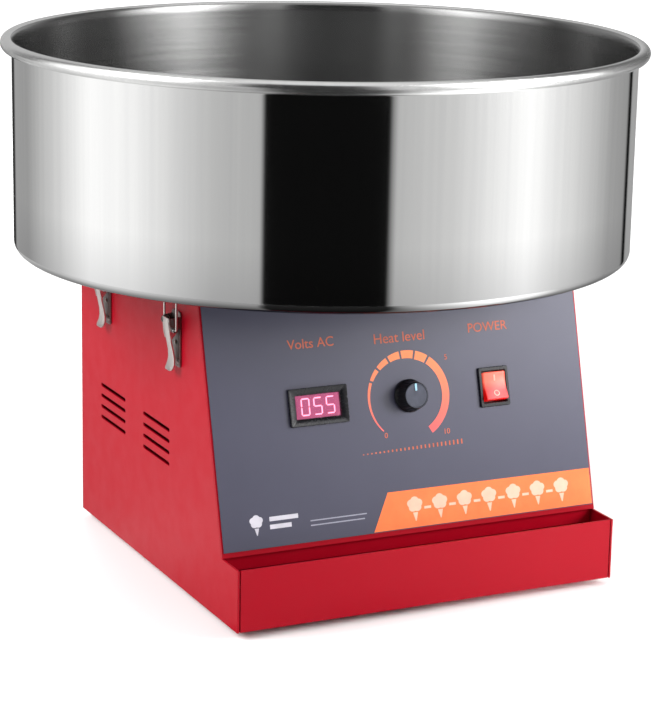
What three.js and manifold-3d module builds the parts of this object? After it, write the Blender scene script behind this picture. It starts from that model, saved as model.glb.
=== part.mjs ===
// Tabletop cotton candy machine: a sheet-steel cabinet with a sloped console and a pull-out drawer,
// a round steel bowl held down by four draw latches, and a motor-driven spinner head in the bowl.
// Millimetres, +Z up, the front faces -Y. The origin is on the floor, on the spinner's axis.

import * as THREE from 'three';
import { mergeVertices } from 'three/addons/utils/BufferGeometryUtils.js';
import Module from 'manifold-3d';

const wasm = await Module();
wasm.setup();

// ---------------------------------------------------------------- driving dimensions

const GAP = 0.3; // between pieces that touch
const SHEET = 1.5; // cabinet steel

const FOOT_HEIGHT = 6;
const CABINET = {
  halfWidth: 163,
  rearY: 127,
  panelFootY: -176,
  frontY: -205,
  floorZ: FOOT_HEIGHT,
  ledgeZ: FOOT_HEIGHT + 49,
  topZ: 246.5,
};
const PANEL_LEAN = THREE.MathUtils.degToRad(15); // the console leans back from upright
const FLANGE = 13;
const FLANGE_Z = 243.2;
const SIDE_FLANGE = { y: [-105, 115] };
const REAR_FLANGE = { z: [67, 239.2] };
const SET_BACK = { deck: 2.2, shelf: 2.6 }; // behind the console sheet's outer face

const VENT = { length: 56, height: 3.2, pitch: 9.2, rows: 4, lowestZ: 100, starts: [-70, 25] };
const REAR_VENT = { length: 90, rows: 6, lowestZ: 120 };

const BOWL = { radius: 251, sheet: 1.2, floorZ: 250, corner: 7, holeRadius: 48, collarTopZ: 275 };
const RIM = { radius: 260, bead: 5, z: 416 };
const GASKET = [58, 118]; // inner and outer radius
const DECK_HOLE = 45;

const DRAWER = { clearance: 0.6, rearY: 40, wallTopZ: 41, faceHalfWidth: 160.5, lap: 0.2 };
const SHELF = { z: 57, lipZ: 44 };

const SHAFT_RADIUS = 5;
const SHAFT_FOOT = 66;
const THREAD_HEIGHT = 9;
const BORE = SHAFT_RADIUS + GAP;
const MOTOR = { radius: 42, bottomZ: 112, topZ: 190, capZ: 98, bossZ: 92, bossRadius: 14 };
const BRACKET = { radius: 58, thickness: 3, postRadius: 4, postCircle: 53 };
const FAN = { hub: 9, tip: 38, z: [72, 88], blades: 7, sheet: 1.4, chord: 14, pitch: 0.6 };
const SLIP = { hubRadius: 15, ringRadius: 20, height: 10, hubZ: [197, 242], ringZ: [203, 221] };
const BRUSH = { width: 6, height: 8, rearX: 40 };
const HOLDER = { x: [25, 45], halfDepth: 11, topZ: 238, flange: [56, 4], screw: 2.2 };
const TERMINAL = { sheet: 1, half: 5, tabHalf: 3.5, tabReach: 11 };
const HEAD = { radius: 66, baseZ: 297, floor: 3, hub: 11, capZ: 340, mouth: [25, 352] };
const LID_POST = { radius: 2.5, circle: 48 };
const HEATER = { radii: [54.5, 57], headroom: 4 };
const HEAD_NUT = { radius: 9, height: 6 };
const BAND = { radius: 63.5, sheet: 1.5, slots: 24, slotWidth: 2, slotMargin: 6 };

const CONSOLE_ROW = 107; // the meter, knob and switch are this far up the slope
const OVERLAY = { thickness: 0.5, halfWidth: 161.6, footS: 4.4, headGap: 0.6 };
const OVERLAY_FACE = GAP + OVERLAY.thickness;
const METER = {
  x: -72.7,
  bezel: [49.5, 29.3, 2.5],
  body: [45.5, 26.3, 20],
  recess: [35.5, 18.5, 1.8],
  windowDepth: 0.8,
};
const SWITCH = { x: 81, bezel: [26.5, 31.5, 2], body: [23.5, 29, 16], well: [20.6, 24.6, 9] };
const ROCKER = { half: [9.9, 11.2], bottom: -3, ends: 5.4, valley: 3.4, lift: 0.5, tilt: 0.175 };
const POT = { radius: 12, depth: 14, bushing: 3.4, bushingTop: 4.6, shaft: 3, shaftFoot: 4.9 };
const POT_NUT = { radius: 6.5, top: 3.6 };
const KNOB = { x: 5.7, radius: 13, faceRadius: 9.4, height: 14.6, bore: 8, boreTop: 6, lid: 2 };

const LATCH = {
  y: { front: -86, rear: 64 },
  pivot: [7, 220],
  halfWidth: 7,
  pin: 1.5,
  ear: 3.5,
  plateZ: [184, 228],
};
const BAIL = { pivot: [6, 214], barZ: 242.5, halfWidth: 12, wire: 1, bend: 2.5 };
const CATCH = { halfWidth: 9, flangeU: -12, plateU: 3, tipU: 9.5, bottomZ: 240, tipZ: 243.2 };
const LATCH_SHEET = 1.2;

const LEVER = {
  spine: [[9.6, 222.6], [9.6, 206], [5.6, 191], [5.6, 187], [8.2, 181.6]],
  cheekU: [4.3, 9.6],
  cheekZ: [206, 222.4],
  cheekRise: 4.6,
};

const BOARD = { at: [100, 70], half: [40, 28], thickness: 1.6, post: 2.5, underside: 7 };
const SINK = { y: 68, half: 20, web: 3, depth: 20, height: 30, fins: 5, fin: 2, pitch: 9.5 };

const GLAND = { x: 120, z: 76, radius: 11, barrel: 8, bore: 3.5, inside: 7, collar: 5, length: 14 };
const FOOT = { radius: 12, stem: 3.2, x: 128, y: [-165, 92] };

const FINE = 48;
const ROUND = 32;
const SMALL = 16;

// ---------------------------------------------------------------- finishes

const FINISH = {
  redPaint: { color: 0xc4202f, roughness: 0.42, metalness: 0.1 },
  steel: { color: 0xc9cacc, roughness: 0.18, metalness: 1 },
  zinc: { color: 0xb9bbbd, roughness: 0.35, metalness: 1 },
  aluminium: { color: 0xc4c6c8, roughness: 0.4, metalness: 1 },
  brass: { color: 0xb98b45, roughness: 0.35, metalness: 1 },
  film: { color: 0x5a5866, roughness: 0.5, metalness: 0 },
  black: { color: 0x1b1b1d, roughness: 0.5, metalness: 0 },
  rubber: { color: 0x202020, roughness: 0.85, metalness: 0 },
  window: { color: 0xb04a68, roughness: 0.25, metalness: 0 },
  rocker: { color: 0xe02a1c, roughness: 0.3, metalness: 0 },
  carbon: { color: 0x2c2b2a, roughness: 0.7, metalness: 0 },
  silicone: { color: 0xd8d6d0, roughness: 0.7, metalness: 0 },
  motorPaint: { color: 0x3b3f45, roughness: 0.5, metalness: 0.4 },
  board: { color: 0x1f5a38, roughness: 0.5, metalness: 0 },
  heater: { color: 0x8a7f78, roughness: 0.5, metalness: 1 },
};

// ---------------------------------------------------------------- shape helpers

function outline(points) {
  return new THREE.Shape(points.map(([a, b]) => new THREE.Vector2(a, b)));
}

function rectangle(a0, a1, b0, b1) {
  return outline([[a0, b0], [a1, b0], [a1, b1], [a0, b1]]);
}

function disc(a, b, radius, sides = SMALL) {
  return outline(arc(a, b, radius, 0, 360 - 360 / sides, sides - 1));
}

/** A slot with round ends, from a0 to a1 along the first axis. */
function roundSlot(a0, a1, b, height) {
  const r = height / 2;
  return outline([...arc(a1 - r, b, r, -90, 90, 3), ...arc(a0 + r, b, r, 90, 270, 3)]);
}

function extruded(shape, depth) {
  return new THREE.ExtrudeGeometry(shape, { depth, bevelEnabled: false, curveSegments: 6 });
}

/** A (y, z) outline, solid from x0 to x1. */
function alongX(shape, x0, x1) {
  const toX = new THREE.Matrix4().makeBasis(
    new THREE.Vector3(0, 1, 0),
    new THREE.Vector3(0, 0, 1),
    new THREE.Vector3(1, 0, 0),
  );
  const low = Math.min(x0, x1);
  return extruded(shape, Math.abs(x1 - x0)).applyMatrix4(toX).translate(low, 0, 0);
}

/** An (x, z) outline, solid from y0 to y1. */
function alongY(shape, y0, y1) {
  const high = Math.max(y0, y1);
  return extruded(shape, Math.abs(y1 - y0)).rotateX(Math.PI / 2).translate(0, high, 0);
}

/** An (x, y) outline, solid from z0 to z1. */
function alongZ(shape, z0, z1) {
  return extruded(shape, z1 - z0).translate(0, 0, z0);
}

function block(x0, x1, y0, y1, z0, z1) {
  const size = [x1 - x0, y1 - y0, z1 - z0].map(Math.abs);
  return new THREE.BoxGeometry(...size).translate((x0 + x1) / 2, (y0 + y1) / 2, (z0 + z1) / 2);
}

/** Revolves [radius, height] points about Z: up the outside, then down the inside. */
function turned(points, segments = ROUND) {
  const profile = points.map(([r, z]) => new THREE.Vector2(r, z));
  return new THREE.LatheGeometry(profile, segments).rotateX(Math.PI / 2);
}

/** A plain ring, square in section. */
function ring(inner, outer, z0, z1, segments = ROUND) {
  return turned([[inner, z0], [outer, z0], [outer, z1], [inner, z1], [inner, z0]], segments);
}

function cylinder(radius, z0, z1, segments = SMALL) {
  return turned([[0, z0], [radius, z0], [radius, z1], [0, z1]], segments);
}

/** Points on a circular arc; angles in degrees. */
function arc(r, z, radius, from, to, steps) {
  return Array.from({ length: steps + 1 }, (_, i) => {
    const angle = THREE.MathUtils.degToRad(from + ((to - from) * i) / steps);
    return [r + radius * Math.cos(angle), z + radius * Math.sin(angle)];
  });
}

/** A wire's centre line: straight from point to point, with one section at each point. */
class BentLine extends THREE.Curve {
  constructor(points) {
    super();
    this.points = points;
  }

  getPoint(t, target = new THREE.Vector3()) {
    const last = this.points.length - 1;
    const i = Math.min(Math.floor(t * last + 1e-9), last - 1);
    return target.lerpVectors(this.points[i], this.points[i + 1], t * last - i);
  }

  getPointAt(u, target) {
    return this.getPoint(u, target);
  }

  getTangentAt(u, target = new THREE.Vector3()) {
    const last = this.points.length - 1;
    const i = Math.round(u * last);
    const before = this.points[Math.max(i - 1, 0)];
    const after = this.points[Math.min(i + 1, last)];
    return target.subVectors(after, before).normalize();
  }
}

// ---------------------------------------------------------------- joining and cutting

function solidOf(geometry) {
  const bare = geometry.clone();
  bare.deleteAttribute('normal');
  bare.deleteAttribute('uv');
  const merged = mergeVertices(bare, 1e-4);
  const corners = merged.getIndex().array;
  const kept = [];
  for (let i = 0; i < corners.length; i += 3) {
    const [a, b, c] = corners.slice(i, i + 3);
    if (a !== b && b !== c && c !== a) kept.push(a, b, c);
  }
  const vertProperties = new Float32Array(merged.getAttribute('position').array);
  const mesh = new wasm.Mesh({ numProp: 3, vertProperties, triVerts: new Uint32Array(kept) });
  return new wasm.Manifold(mesh);
}

function geometryOf(solid) {
  const mesh = solid.getMesh();
  const geometry = new THREE.BufferGeometry();
  geometry.setAttribute('position', new THREE.BufferAttribute(mesh.vertProperties, 3));
  geometry.setIndex(new THREE.BufferAttribute(mesh.triVerts, 1));
  geometry.computeVertexNormals();
  return geometry;
}

function joined(...pieces) {
  return geometryOf(pieces.map(solidOf).reduce((whole, piece) => whole.add(piece)));
}

function cut(piece, ...tools) {
  return geometryOf(tools.map(solidOf).reduce((left, tool) => left.subtract(tool), solidOf(piece)));
}

// ---------------------------------------------------------------- the assembly

const machine = new THREE.Group();
const panel = new THREE.Group(); // x across, y up the slope, z out of the console's face
panel.position.set(0, CABINET.panelFootY, CABINET.ledgeZ);
panel.rotation.x = Math.PI / 2 - PANEL_LEAN;
machine.add(panel);

function add(name, geometry, finish, parent = machine) {
  const mesh = new THREE.Mesh(geometry, new THREE.MeshStandardMaterial(FINISH[finish]));
  mesh.name = name;
  parent.add(mesh);
  return mesh;
}

/** The y of the console's outer face at a height. */
function faceY(z) {
  return CABINET.panelFootY + (z - CABINET.ledgeZ) * Math.tan(PANEL_LEAN);
}

// ---------------------------------------------------------------- cabinet

function sidePanel(side) {
  const { halfWidth, rearY, frontY, floorZ, ledgeZ, topZ } = CABINET;
  const back = rearY - SHEET - GAP;
  const setBack = (SHEET + GAP) / Math.cos(PANEL_LEAN); // the console sheet covers this edge
  const shape = outline([
    [frontY, floorZ],
    [back, floorZ],
    [back, topZ],
    [faceY(topZ) + setBack, topZ],
    [faceY(ledgeZ) + setBack, ledgeZ],
    [frontY, ledgeZ],
  ]);
  for (const start of VENT.starts) {
    for (let row = 0; row < VENT.rows; row += 1) {
      const z = VENT.lowestZ + row * VENT.pitch;
      shape.holes.push(roundSlot(start, start + VENT.length, z, VENT.height));
    }
  }
  const outer = side * halfWidth;
  const inner = side * (halfWidth - SHEET);
  const flangeEnd = side * (halfWidth - FLANGE);
  return joined(
    alongX(shape, inner, outer),
    block(flangeEnd, outer, ...SIDE_FLANGE.y, FLANGE_Z, FLANGE_Z + SHEET),
    block(flangeEnd, outer, back - SHEET, back, ...REAR_FLANGE.z),
  );
}

function rearPanel() {
  const { halfWidth, rearY, floorZ, topZ } = CABINET;
  const shape = rectangle(-halfWidth, halfWidth, floorZ, topZ);
  for (let row = 0; row < REAR_VENT.rows; row += 1) {
    const z = REAR_VENT.lowestZ + row * VENT.pitch;
    shape.holes.push(roundSlot(-REAR_VENT.length / 2, REAR_VENT.length / 2, z, VENT.height));
  }
  shape.holes.push(disc(GLAND.x, GLAND.z, GLAND.barrel + GAP));
  return alongY(shape, rearY - SHEET, rearY);
}

function topDeck() {
  const half = CABINET.halfWidth - SHEET - GAP;
  const front = faceY(CABINET.topZ) + SET_BACK.deck;
  const shape = rectangle(-half, half, front, CABINET.rearY - SHEET - GAP);
  shape.holes.push(disc(0, 0, DECK_HOLE, ROUND));
  return alongZ(shape, CABINET.topZ - SHEET, CABINET.topZ);
}

function basePlate() {
  const half = CABINET.halfWidth - SHEET - GAP;
  const front = CABINET.frontY + SHEET + GAP;
  const shape = rectangle(-half, half, front, CABINET.rearY - SHEET - GAP);
  for (const x of [-FOOT.x, FOOT.x]) {
    for (const y of FOOT.y) shape.holes.push(disc(x, y, FOOT.stem + GAP));
  }
  return alongZ(shape, CABINET.floorZ, CABINET.floorZ + SHEET);
}

/** The partition over the drawer, with a lip turned down behind the drawer's open front. */
function drawerShelf() {
  const half = CABINET.halfWidth - SHEET - GAP;
  const front = CABINET.panelFootY + SET_BACK.shelf;
  const rear = CABINET.rearY - SHEET - GAP;
  return joined(
    block(-half, half, front, rear, SHELF.z, SHELF.z + SHEET),
    block(-half, half, front, front + SHEET, SHELF.lipZ, SHELF.z + SHEET),
  );
}

/** A box centred on the panel's Z axis. */
function centred(wide, tall, z0, z1) {
  return block(-wide / 2, wide / 2, -tall / 2, tall / 2, z0, z1);
}

/** What the console's sheet and film are cut for, in the panel's frame. */
function consoleCutouts() {
  const [back, front] = [-SHEET - 1, OVERLAY_FACE + 1];
  const windows = [METER, SWITCH].map(({ x, body: [wide, tall] }) => (
    centred(wide + 2 * GAP, tall + 2 * GAP, back, front).translate(x, CONSOLE_ROW, 0)
  ));
  const bore = cylinder(POT.bushing + GAP, back, front).translate(KNOB.x, CONSOLE_ROW, 0);
  return [...windows, bore];
}

/** The console's sheet: its face, and a flange turned back under the deck. */
function consoleSheet() {
  const { halfWidth, ledgeZ, topZ } = CABINET;
  const thick = SHEET / Math.cos(PANEL_LEAN);
  const foot = ledgeZ + GAP;
  const face = outline([
    [faceY(foot), foot],
    [faceY(foot) + thick, foot],
    [faceY(topZ) + thick, topZ],
    [faceY(topZ), topZ],
  ]);
  const flangeHalf = halfWidth - FLANGE - 1;
  const flangeFront = faceY(FLANGE_Z) + thick / 2;
  const whole = joined(
    alongX(face, -halfWidth, halfWidth),
    block(-flangeHalf, flangeHalf, flangeFront, flangeFront + FLANGE, FLANGE_Z, FLANGE_Z + SHEET),
  );
  panel.updateMatrixWorld();
  return cut(whole, ...consoleCutouts().map((tool) => tool.applyMatrix4(panel.matrixWorld)));
}

function panelOverlay() {
  const length = (CABINET.topZ - CABINET.ledgeZ) / Math.cos(PANEL_LEAN);
  const { halfWidth, footS, headGap } = OVERLAY;
  const film = block(-halfWidth, halfWidth, footS, length - headGap, GAP, OVERLAY_FACE);
  return cut(film, ...consoleCutouts());
}

function drawerTray() {
  const { frontY, floorZ, ledgeZ, halfWidth } = CABINET;
  const half = halfWidth - SHEET - DRAWER.clearance;
  const bottom = floorZ + SHEET + GAP;
  const { rearY, wallTopZ, faceHalfWidth, lap } = DRAWER;
  const front = frontY + SHEET - lap;
  const box = block(-half, half, front, rearY, bottom, wallTopZ);
  const inside = block(SHEET - half, half - SHEET, front - 1, rearY - SHEET, bottom + SHEET, ledgeZ);
  const face = block(-faceHalfWidth, faceHalfWidth, frontY, frontY + SHEET, floorZ + GAP, ledgeZ);
  return joined(cut(box, inside), face);
}

/** A push-in rubber foot: a tapered pad with a stem that fills its hole in the base plate. */
function foot() {
  const top = FOOT_HEIGHT - GAP;
  const { radius, stem } = FOOT;
  return turned([
    [0, 0],
    [radius - 2, 0],
    [radius, 1.5],
    [radius - 1, top],
    [stem, top],
    [stem, FOOT_HEIGHT + SHEET - GAP],
    [0, FOOT_HEIGHT + SHEET - GAP],
  ], SMALL);
}

function cordGland() {
  const { radius, barrel, bore, inside, collar, length } = GLAND;
  return turned([
    [bore, -SHEET - inside],
    [barrel, -SHEET - inside],
    [barrel, GAP],
    [radius, GAP],
    [radius, collar],
    [radius - 2, collar + 1],
    [radius - 4, length - 1],
    [bore, length],
    [bore, -SHEET - inside],
  ], SMALL + 4).rotateX(-Math.PI / 2);
}

function buildCabinet() {
  add('side_panel_left', sidePanel(-1), 'redPaint');
  add('side_panel_right', sidePanel(1), 'redPaint');
  add('rear_panel', rearPanel(), 'redPaint');
  add('front_panel', consoleSheet(), 'redPaint');
  add('top_deck', topDeck(), 'redPaint');
  add('base_plate', basePlate(), 'redPaint');
  add('drawer_shelf', drawerShelf(), 'redPaint');
  add('drawer_tray', drawerTray(), 'redPaint');
  add('panel_overlay', panelOverlay(), 'film', panel);
  add('cord_gland', cordGland(), 'black').position.set(GLAND.x, CABINET.rearY, GLAND.z);
  for (const [side, x] of [['left', -FOOT.x], ['right', FOOT.x]]) {
    add(`foot_front_${side}`, foot(), 'rubber').position.set(x, FOOT.y[0], 0);
    add(`foot_rear_${side}`, foot(), 'rubber').position.set(x, FOOT.y[1], 0);
  }
}

// ---------------------------------------------------------------- console controls

/** A bezel on the film with a body behind it, and a recess of [width, height] from z0 forwards. */
function bezelBody({ bezel, body }, recess, z0) {
  const front = OVERLAY_FACE + GAP;
  const [wide, tall, depth] = bezel;
  const [bodyWide, bodyTall, bodyDepth] = body;
  const whole = joined(
    centred(wide, tall, front, front + depth),
    centred(bodyWide, bodyTall, -bodyDepth, front + depth / 2),
  );
  return cut(whole, centred(...recess, z0, front + depth + 1));
}

function meterBody() {
  const [wide, tall, depth] = METER.recess;
  return bezelBody(METER, [wide, tall], OVERLAY_FACE + GAP + METER.bezel[2] - depth);
}

function meterWindow() {
  const [wide, tall, depth] = METER.recess;
  const back = OVERLAY_FACE + 2 * GAP + METER.bezel[2] - depth;
  return centred(wide - 2 * GAP, tall - 2 * GAP, back, back + METER.windowDepth);
}

function switchHousing() {
  const [wide, tall, depth] = SWITCH.well;
  return bezelBody(SWITCH, [wide, tall], -depth);
}

/** The rocker: a shallow V across the top, tilted so that its upper half is pressed in. */
function switchRocker() {
  const { half: [halfX, halfY], bottom, ends, valley, tilt } = ROCKER;
  const shape = outline([[-halfY, bottom], [halfY, bottom], [halfY, ends], [0, valley], [-halfY, ends]]);
  return alongX(shape, -halfX, halfX).rotateX(-tilt);
}

function potentiometer() {
  const { radius, depth, bushing, bushingTop } = POT;
  return turned([
    [0, -depth],
    [radius, -depth],
    [radius, -SHEET - GAP],
    [bushing, -SHEET - GAP],
    [bushing, bushingTop],
    [0, bushingTop],
  ], SMALL + 4);
}

function hexNut(bore, radius, z0, z1) {
  const nut = turned([[0, z0], [radius, z0], [radius, z1], [0, z1]], 6);
  return cut(nut, cylinder(bore, z0 - 1, z1 + 1, 12));
}

/** The knob: a skirt over the nut, a sloped grip, and a socket for the shaft. */
function knob() {
  const foot = OVERLAY_FACE + 1;
  const { radius, faceRadius, height, bore, boreTop, lid } = KNOB;
  return turned([
    [0, height - lid],
    [POT.shaft + GAP, height - lid],
    [POT.shaft + GAP, boreTop],
    [bore, boreTop],
    [bore, foot],
    [radius, foot],
    [radius - 0.4, foot + 2.4],
    [faceRadius + 0.8, height - 1],
    [faceRadius, height],
    [0, height],
  ], 24);
}

/** An empty group on the console's row of controls. */
function station(x) {
  const group = new THREE.Group();
  group.position.set(x, CONSOLE_ROW, 0);
  panel.add(group);
  return group;
}

function buildControls() {
  const meter = station(METER.x);
  add('voltmeter_body', meterBody(), 'black', meter);
  add('voltmeter_window', meterWindow(), 'window', meter);

  const power = station(SWITCH.x);
  add('switch_housing', switchHousing(), 'black', power);
  add('switch_rocker', switchRocker(), 'rocker', power).position.z = ROCKER.lift;

  const heat = station(KNOB.x);
  const nut = hexNut(POT.bushing + GAP, POT_NUT.radius, OVERLAY_FACE + GAP, POT_NUT.top);
  const shaft = cylinder(POT.shaft, POT.shaftFoot, KNOB.height - KNOB.lid - GAP, 12);
  add('potentiometer', potentiometer(), 'zinc', heat);
  add('potentiometer_nut', nut, 'zinc', heat);
  add('potentiometer_shaft', shaft, 'zinc', heat);
  add('temperature_knob', knob(), 'black', heat);
}

// ---------------------------------------------------------------- electrics on the shelf

function controlBoard() {
  const { half: [halfX, halfY], thickness, post, underside } = BOARD;
  const posts = [-1, 1].flatMap((i) => [-1, 1].map((j) => (
    cylinder(post, GAP, underside + thickness / 2, 8)
      .translate(i * (halfX - 2 * post), j * (halfY - 2 * post), 0)
  )));
  const plate = block(-halfX, halfX, -halfY, halfY, underside, underside + thickness);
  return joined(plate, ...posts);
}

function heatSink() {
  const { half, web, depth, height, fins, fin, pitch } = SINK;
  const row = Array.from({ length: fins }, (_, i) => (
    block(i * pitch - half, i * pitch - half + fin, web - 1, depth, 0, height)
  ));
  return joined(block(-half, half, 0, web, 0, height), ...row);
}

function buildElectrics() {
  const floor = SHELF.z + SHEET;
  const boardTop = floor + BOARD.underside + BOARD.thickness;
  const [x, y] = BOARD.at;
  add('control_board', controlBoard(), 'board').position.set(x, y, floor);
  add('triac_heat_sink', heatSink(), 'aluminium').position.set(x, SINK.y, boardTop + GAP);
}

// ---------------------------------------------------------------- motor and slip rings

function motorBracket() {
  const { radius, thickness, postRadius, postCircle } = BRACKET;
  const bottom = MOTOR.topZ + GAP;
  const posts = [45, 135, 225, 315].map((degrees) => {
    const angle = THREE.MathUtils.degToRad(degrees);
    const top = CABINET.topZ - SHEET - GAP;
    return cylinder(postRadius, bottom, top, 12)
      .translate(postCircle * Math.cos(angle), postCircle * Math.sin(angle), 0);
  });
  return joined(ring(SLIP.hubRadius + 1, radius, bottom, bottom + thickness), ...posts);
}

function motorEndCap() {
  const { radius, capZ, bossZ, bossRadius, bottomZ } = MOTOR;
  return turned([
    [BORE, bossZ],
    [bossRadius, bossZ],
    [bossRadius, capZ],
    [radius - 6, capZ],
    [radius, capZ + 5],
    [radius, bottomZ - GAP],
    [BORE, bottomZ - GAP],
    [BORE, bossZ],
  ]);
}

function driveShaft() {
  const seat = HEAD.baseZ + HEAD.floor + 1;
  return turned([
    [0, SHAFT_FOOT],
    [SHAFT_RADIUS, SHAFT_FOOT],
    [SHAFT_RADIUS, seat],
    [SHAFT_RADIUS - 1, seat],
    [SHAFT_RADIUS - 1, seat + THREAD_HEIGHT],
    [0, seat + THREAD_HEIGHT],
  ], SMALL);
}

function coolingFan() {
  const { hub, tip, z: [bottomZ, topZ], blades, sheet, chord, pitch } = FAN;
  const middle = (bottomZ + topZ) / 2;
  const turn = (2 * Math.PI) / blades;
  const blade = (i) => block(hub - 1, tip, -sheet / 2, sheet / 2, -chord / 2, chord / 2)
    .rotateX(pitch)
    .rotateZ(i * turn)
    .translate(0, 0, middle);
  const core = cylinder(hub, bottomZ, topZ);
  const whole = joined(core, ...Array.from({ length: blades }, (_, i) => blade(i)));
  return cut(whole, cylinder(BORE, bottomZ - 1, topZ + 1));
}

/** The phenolic block on its oval flange, with a window for each brush. */
function brushHolder() {
  const [x0, x1] = HOLDER.x;
  const bottom = MOTOR.topZ + BRACKET.thickness + 2 * GAP;
  const half = (x1 - x0 + 2) / 2;
  const centre = (x0 + x1) / 2;
  const [length, thickness] = HOLDER.flange;
  const reach = length / 2 - half;
  const flange = new THREE.Shape();
  flange.absarc(centre, reach, half, 0, Math.PI);
  flange.absarc(centre, -reach, half, Math.PI, 2 * Math.PI);
  for (const y of [-reach - 4, reach + 4]) flange.holes.push(disc(centre, y, HOLDER.screw));
  const body = joined(
    alongZ(flange, bottom, bottom + thickness),
    block(x0, x1, -HOLDER.halfDepth, HOLDER.halfDepth, bottom, HOLDER.topZ),
  );
  const windows = SLIP.ringZ.map((z) => {
    const middle = z + SLIP.height / 2;
    const [wide, tall] = [BRUSH.width / 2 + GAP, BRUSH.height / 2 + GAP];
    return block(x0 - 1, x1 + 1, -wide, wide, middle - tall, middle + tall);
  });
  return cut(body, ...windows);
}

function carbonBrush(ringZ) {
  const middle = ringZ + SLIP.height / 2;
  const [wide, tall] = [BRUSH.width / 2, BRUSH.height / 2];
  return block(SLIP.ringRadius + GAP, BRUSH.rearX, -wide, wide, middle - tall, middle + tall);
}

/** A brass strip behind a brush, with its tab bent outwards. */
function brushTerminal(ringZ) {
  const { sheet, half, tabHalf, tabReach } = TERMINAL;
  const x = HOLDER.x[1] + GAP;
  const [low, high] = [ringZ - 1, ringZ + SLIP.height + 2];
  return joined(
    block(x, x + sheet, -half, half, low, high),
    block(x, x + tabReach, -tabHalf, tabHalf, high - sheet, high),
  );
}

function buildDrive() {
  const { radius, bottomZ, topZ } = MOTOR;
  add('motor_can', ring(BORE, radius, bottomZ, topZ), 'motorPaint');
  add('motor_end_cap', motorEndCap(), 'aluminium');
  add('motor_bracket', motorBracket(), 'zinc');
  add('motor_shaft', driveShaft(), 'steel');
  add('cooling_fan', coolingFan(), 'black');
  add('slip_ring_hub', ring(BORE, SLIP.hubRadius, ...SLIP.hubZ), 'black');
  add('brush_holder', brushHolder(), 'black');
  SLIP.ringZ.forEach((z, i) => {
    const level = ['lower', 'upper'][i];
    const rim = ring(SLIP.hubRadius + GAP, SLIP.ringRadius, z, z + SLIP.height);
    add(`slip_ring_${level}`, rim, 'brass');
    add(`carbon_brush_${level}`, carbonBrush(z), 'carbon');
    add(`brush_terminal_${level}`, brushTerminal(z), 'brass');
  });
}

// ---------------------------------------------------------------- bowl and spinner head

function bowl() {
  const { radius, sheet, floorZ, corner, holeRadius, collarTopZ } = BOWL;
  const inner = radius - sheet;
  const bend = radius - corner;
  const beadR = RIM.radius - RIM.bead;
  return turned([
    [holeRadius, floorZ],
    ...arc(bend, floorZ + corner, corner, -90, 0, 3),
    [radius, RIM.z - 7],
    ...arc(beadR, RIM.z, RIM.bead, -120, 180, 10),
    [inner, RIM.z - 5],
    ...arc(bend, floorZ + corner, corner - sheet, 0, -90, 3),
    [holeRadius + sheet, floorZ + sheet],
    [holeRadius + sheet, collarTopZ],
    [holeRadius, collarTopZ],
    [holeRadius, floorZ],
  ], FINE);
}

function headBase() {
  const { radius, baseZ, floor, hub } = HEAD;
  return turned([
    [BORE, baseZ - hub],
    [14, baseZ - hub],
    [16, baseZ],
    [radius, baseZ],
    [radius, baseZ + floor],
    [BORE, baseZ + floor],
    [BORE, baseZ - hub],
  ]);
}

function headBand() {
  const { radius, sheet, slots, slotWidth, slotMargin } = BAND;
  const [low, high] = [HEAD.baseZ + HEAD.floor + GAP, HEAD.capZ - GAP];
  const wall = ring(radius - sheet, radius, low, high, 2 * slots);
  const half = slotWidth / 2;
  const cutters = Array.from({ length: slots }, (_, i) => (
    block(radius - 4, radius + 2, -half, half, low + slotMargin, high - slotMargin)
      .rotateZ(((i + 0.5) * 2 * Math.PI) / slots)
  ));
  return cut(wall, ...cutters);
}

/** The sugar lid: a low cone up to a round mouth, on four posts that stand on the head's floor. */
function headCap() {
  const { radius, capZ, mouth: [mouthRadius, mouthZ], baseZ, floor } = HEAD;
  const lid = turned([
    [radius - 3, capZ],
    [radius, capZ],
    [radius, capZ + 2],
    [36, capZ + 5.5],
    [27, mouthZ],
    [mouthRadius, mouthZ],
    [mouthRadius, mouthZ - 1.5],
    [34.5, capZ + 3],
    [radius - 3, capZ],
  ]);
  const posts = [45, 135, 225, 315].map((degrees) => {
    const angle = THREE.MathUtils.degToRad(degrees);
    return cylinder(LID_POST.radius, baseZ + floor + GAP, capZ + 2.5, 8)
      .translate(LID_POST.circle * Math.cos(angle), LID_POST.circle * Math.sin(angle), 0);
  });
  return joined(lid, ...posts);
}

function buildBowlAndHead() {
  const floor = HEAD.baseZ + HEAD.floor;
  const nutZ = floor + GAP;
  add('bowl', bowl(), 'steel');
  add('bowl_gasket', ring(...GASKET, CABINET.topZ + GAP, BOWL.floorZ - GAP), 'silicone');
  add('head_base', headBase(), 'aluminium');
  add('head_heater', ring(...HEATER.radii, floor + GAP, HEAD.capZ - HEATER.headroom), 'heater');
  add('head_band', headBand(), 'steel');
  add('head_cap', headCap(), 'aluminium');
  add('head_nut', hexNut(BORE, HEAD_NUT.radius, nutZ, nutZ + HEAD_NUT.height), 'zinc');
}

// ---------------------------------------------------------------- draw latches

// A latch is drawn with u out of the side panel's face, v across and z up: u is its group's x.

function latchBase() {
  const [pivotU, pivotZ] = LATCH.pivot;
  const inner = LATCH.halfWidth + GAP;
  const outer = inner + LATCH_SHEET;
  const ear = new THREE.Shape();
  ear.moveTo(GAP, pivotZ - LATCH.ear);
  ear.absarc(pivotU, pivotZ, LATCH.ear, -Math.PI / 2, Math.PI / 2);
  ear.lineTo(GAP, pivotZ + LATCH.ear);
  const pin = cylinder(LATCH.pin, -outer, outer, 10).rotateX(Math.PI / 2);
  return joined(
    block(GAP, GAP + LATCH_SHEET, -outer, outer, ...LATCH.plateZ),
    alongY(ear, inner, outer),
    alongY(ear, -outer, -inner),
    pin.translate(pivotU, 0, pivotZ),
  );
}

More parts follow.
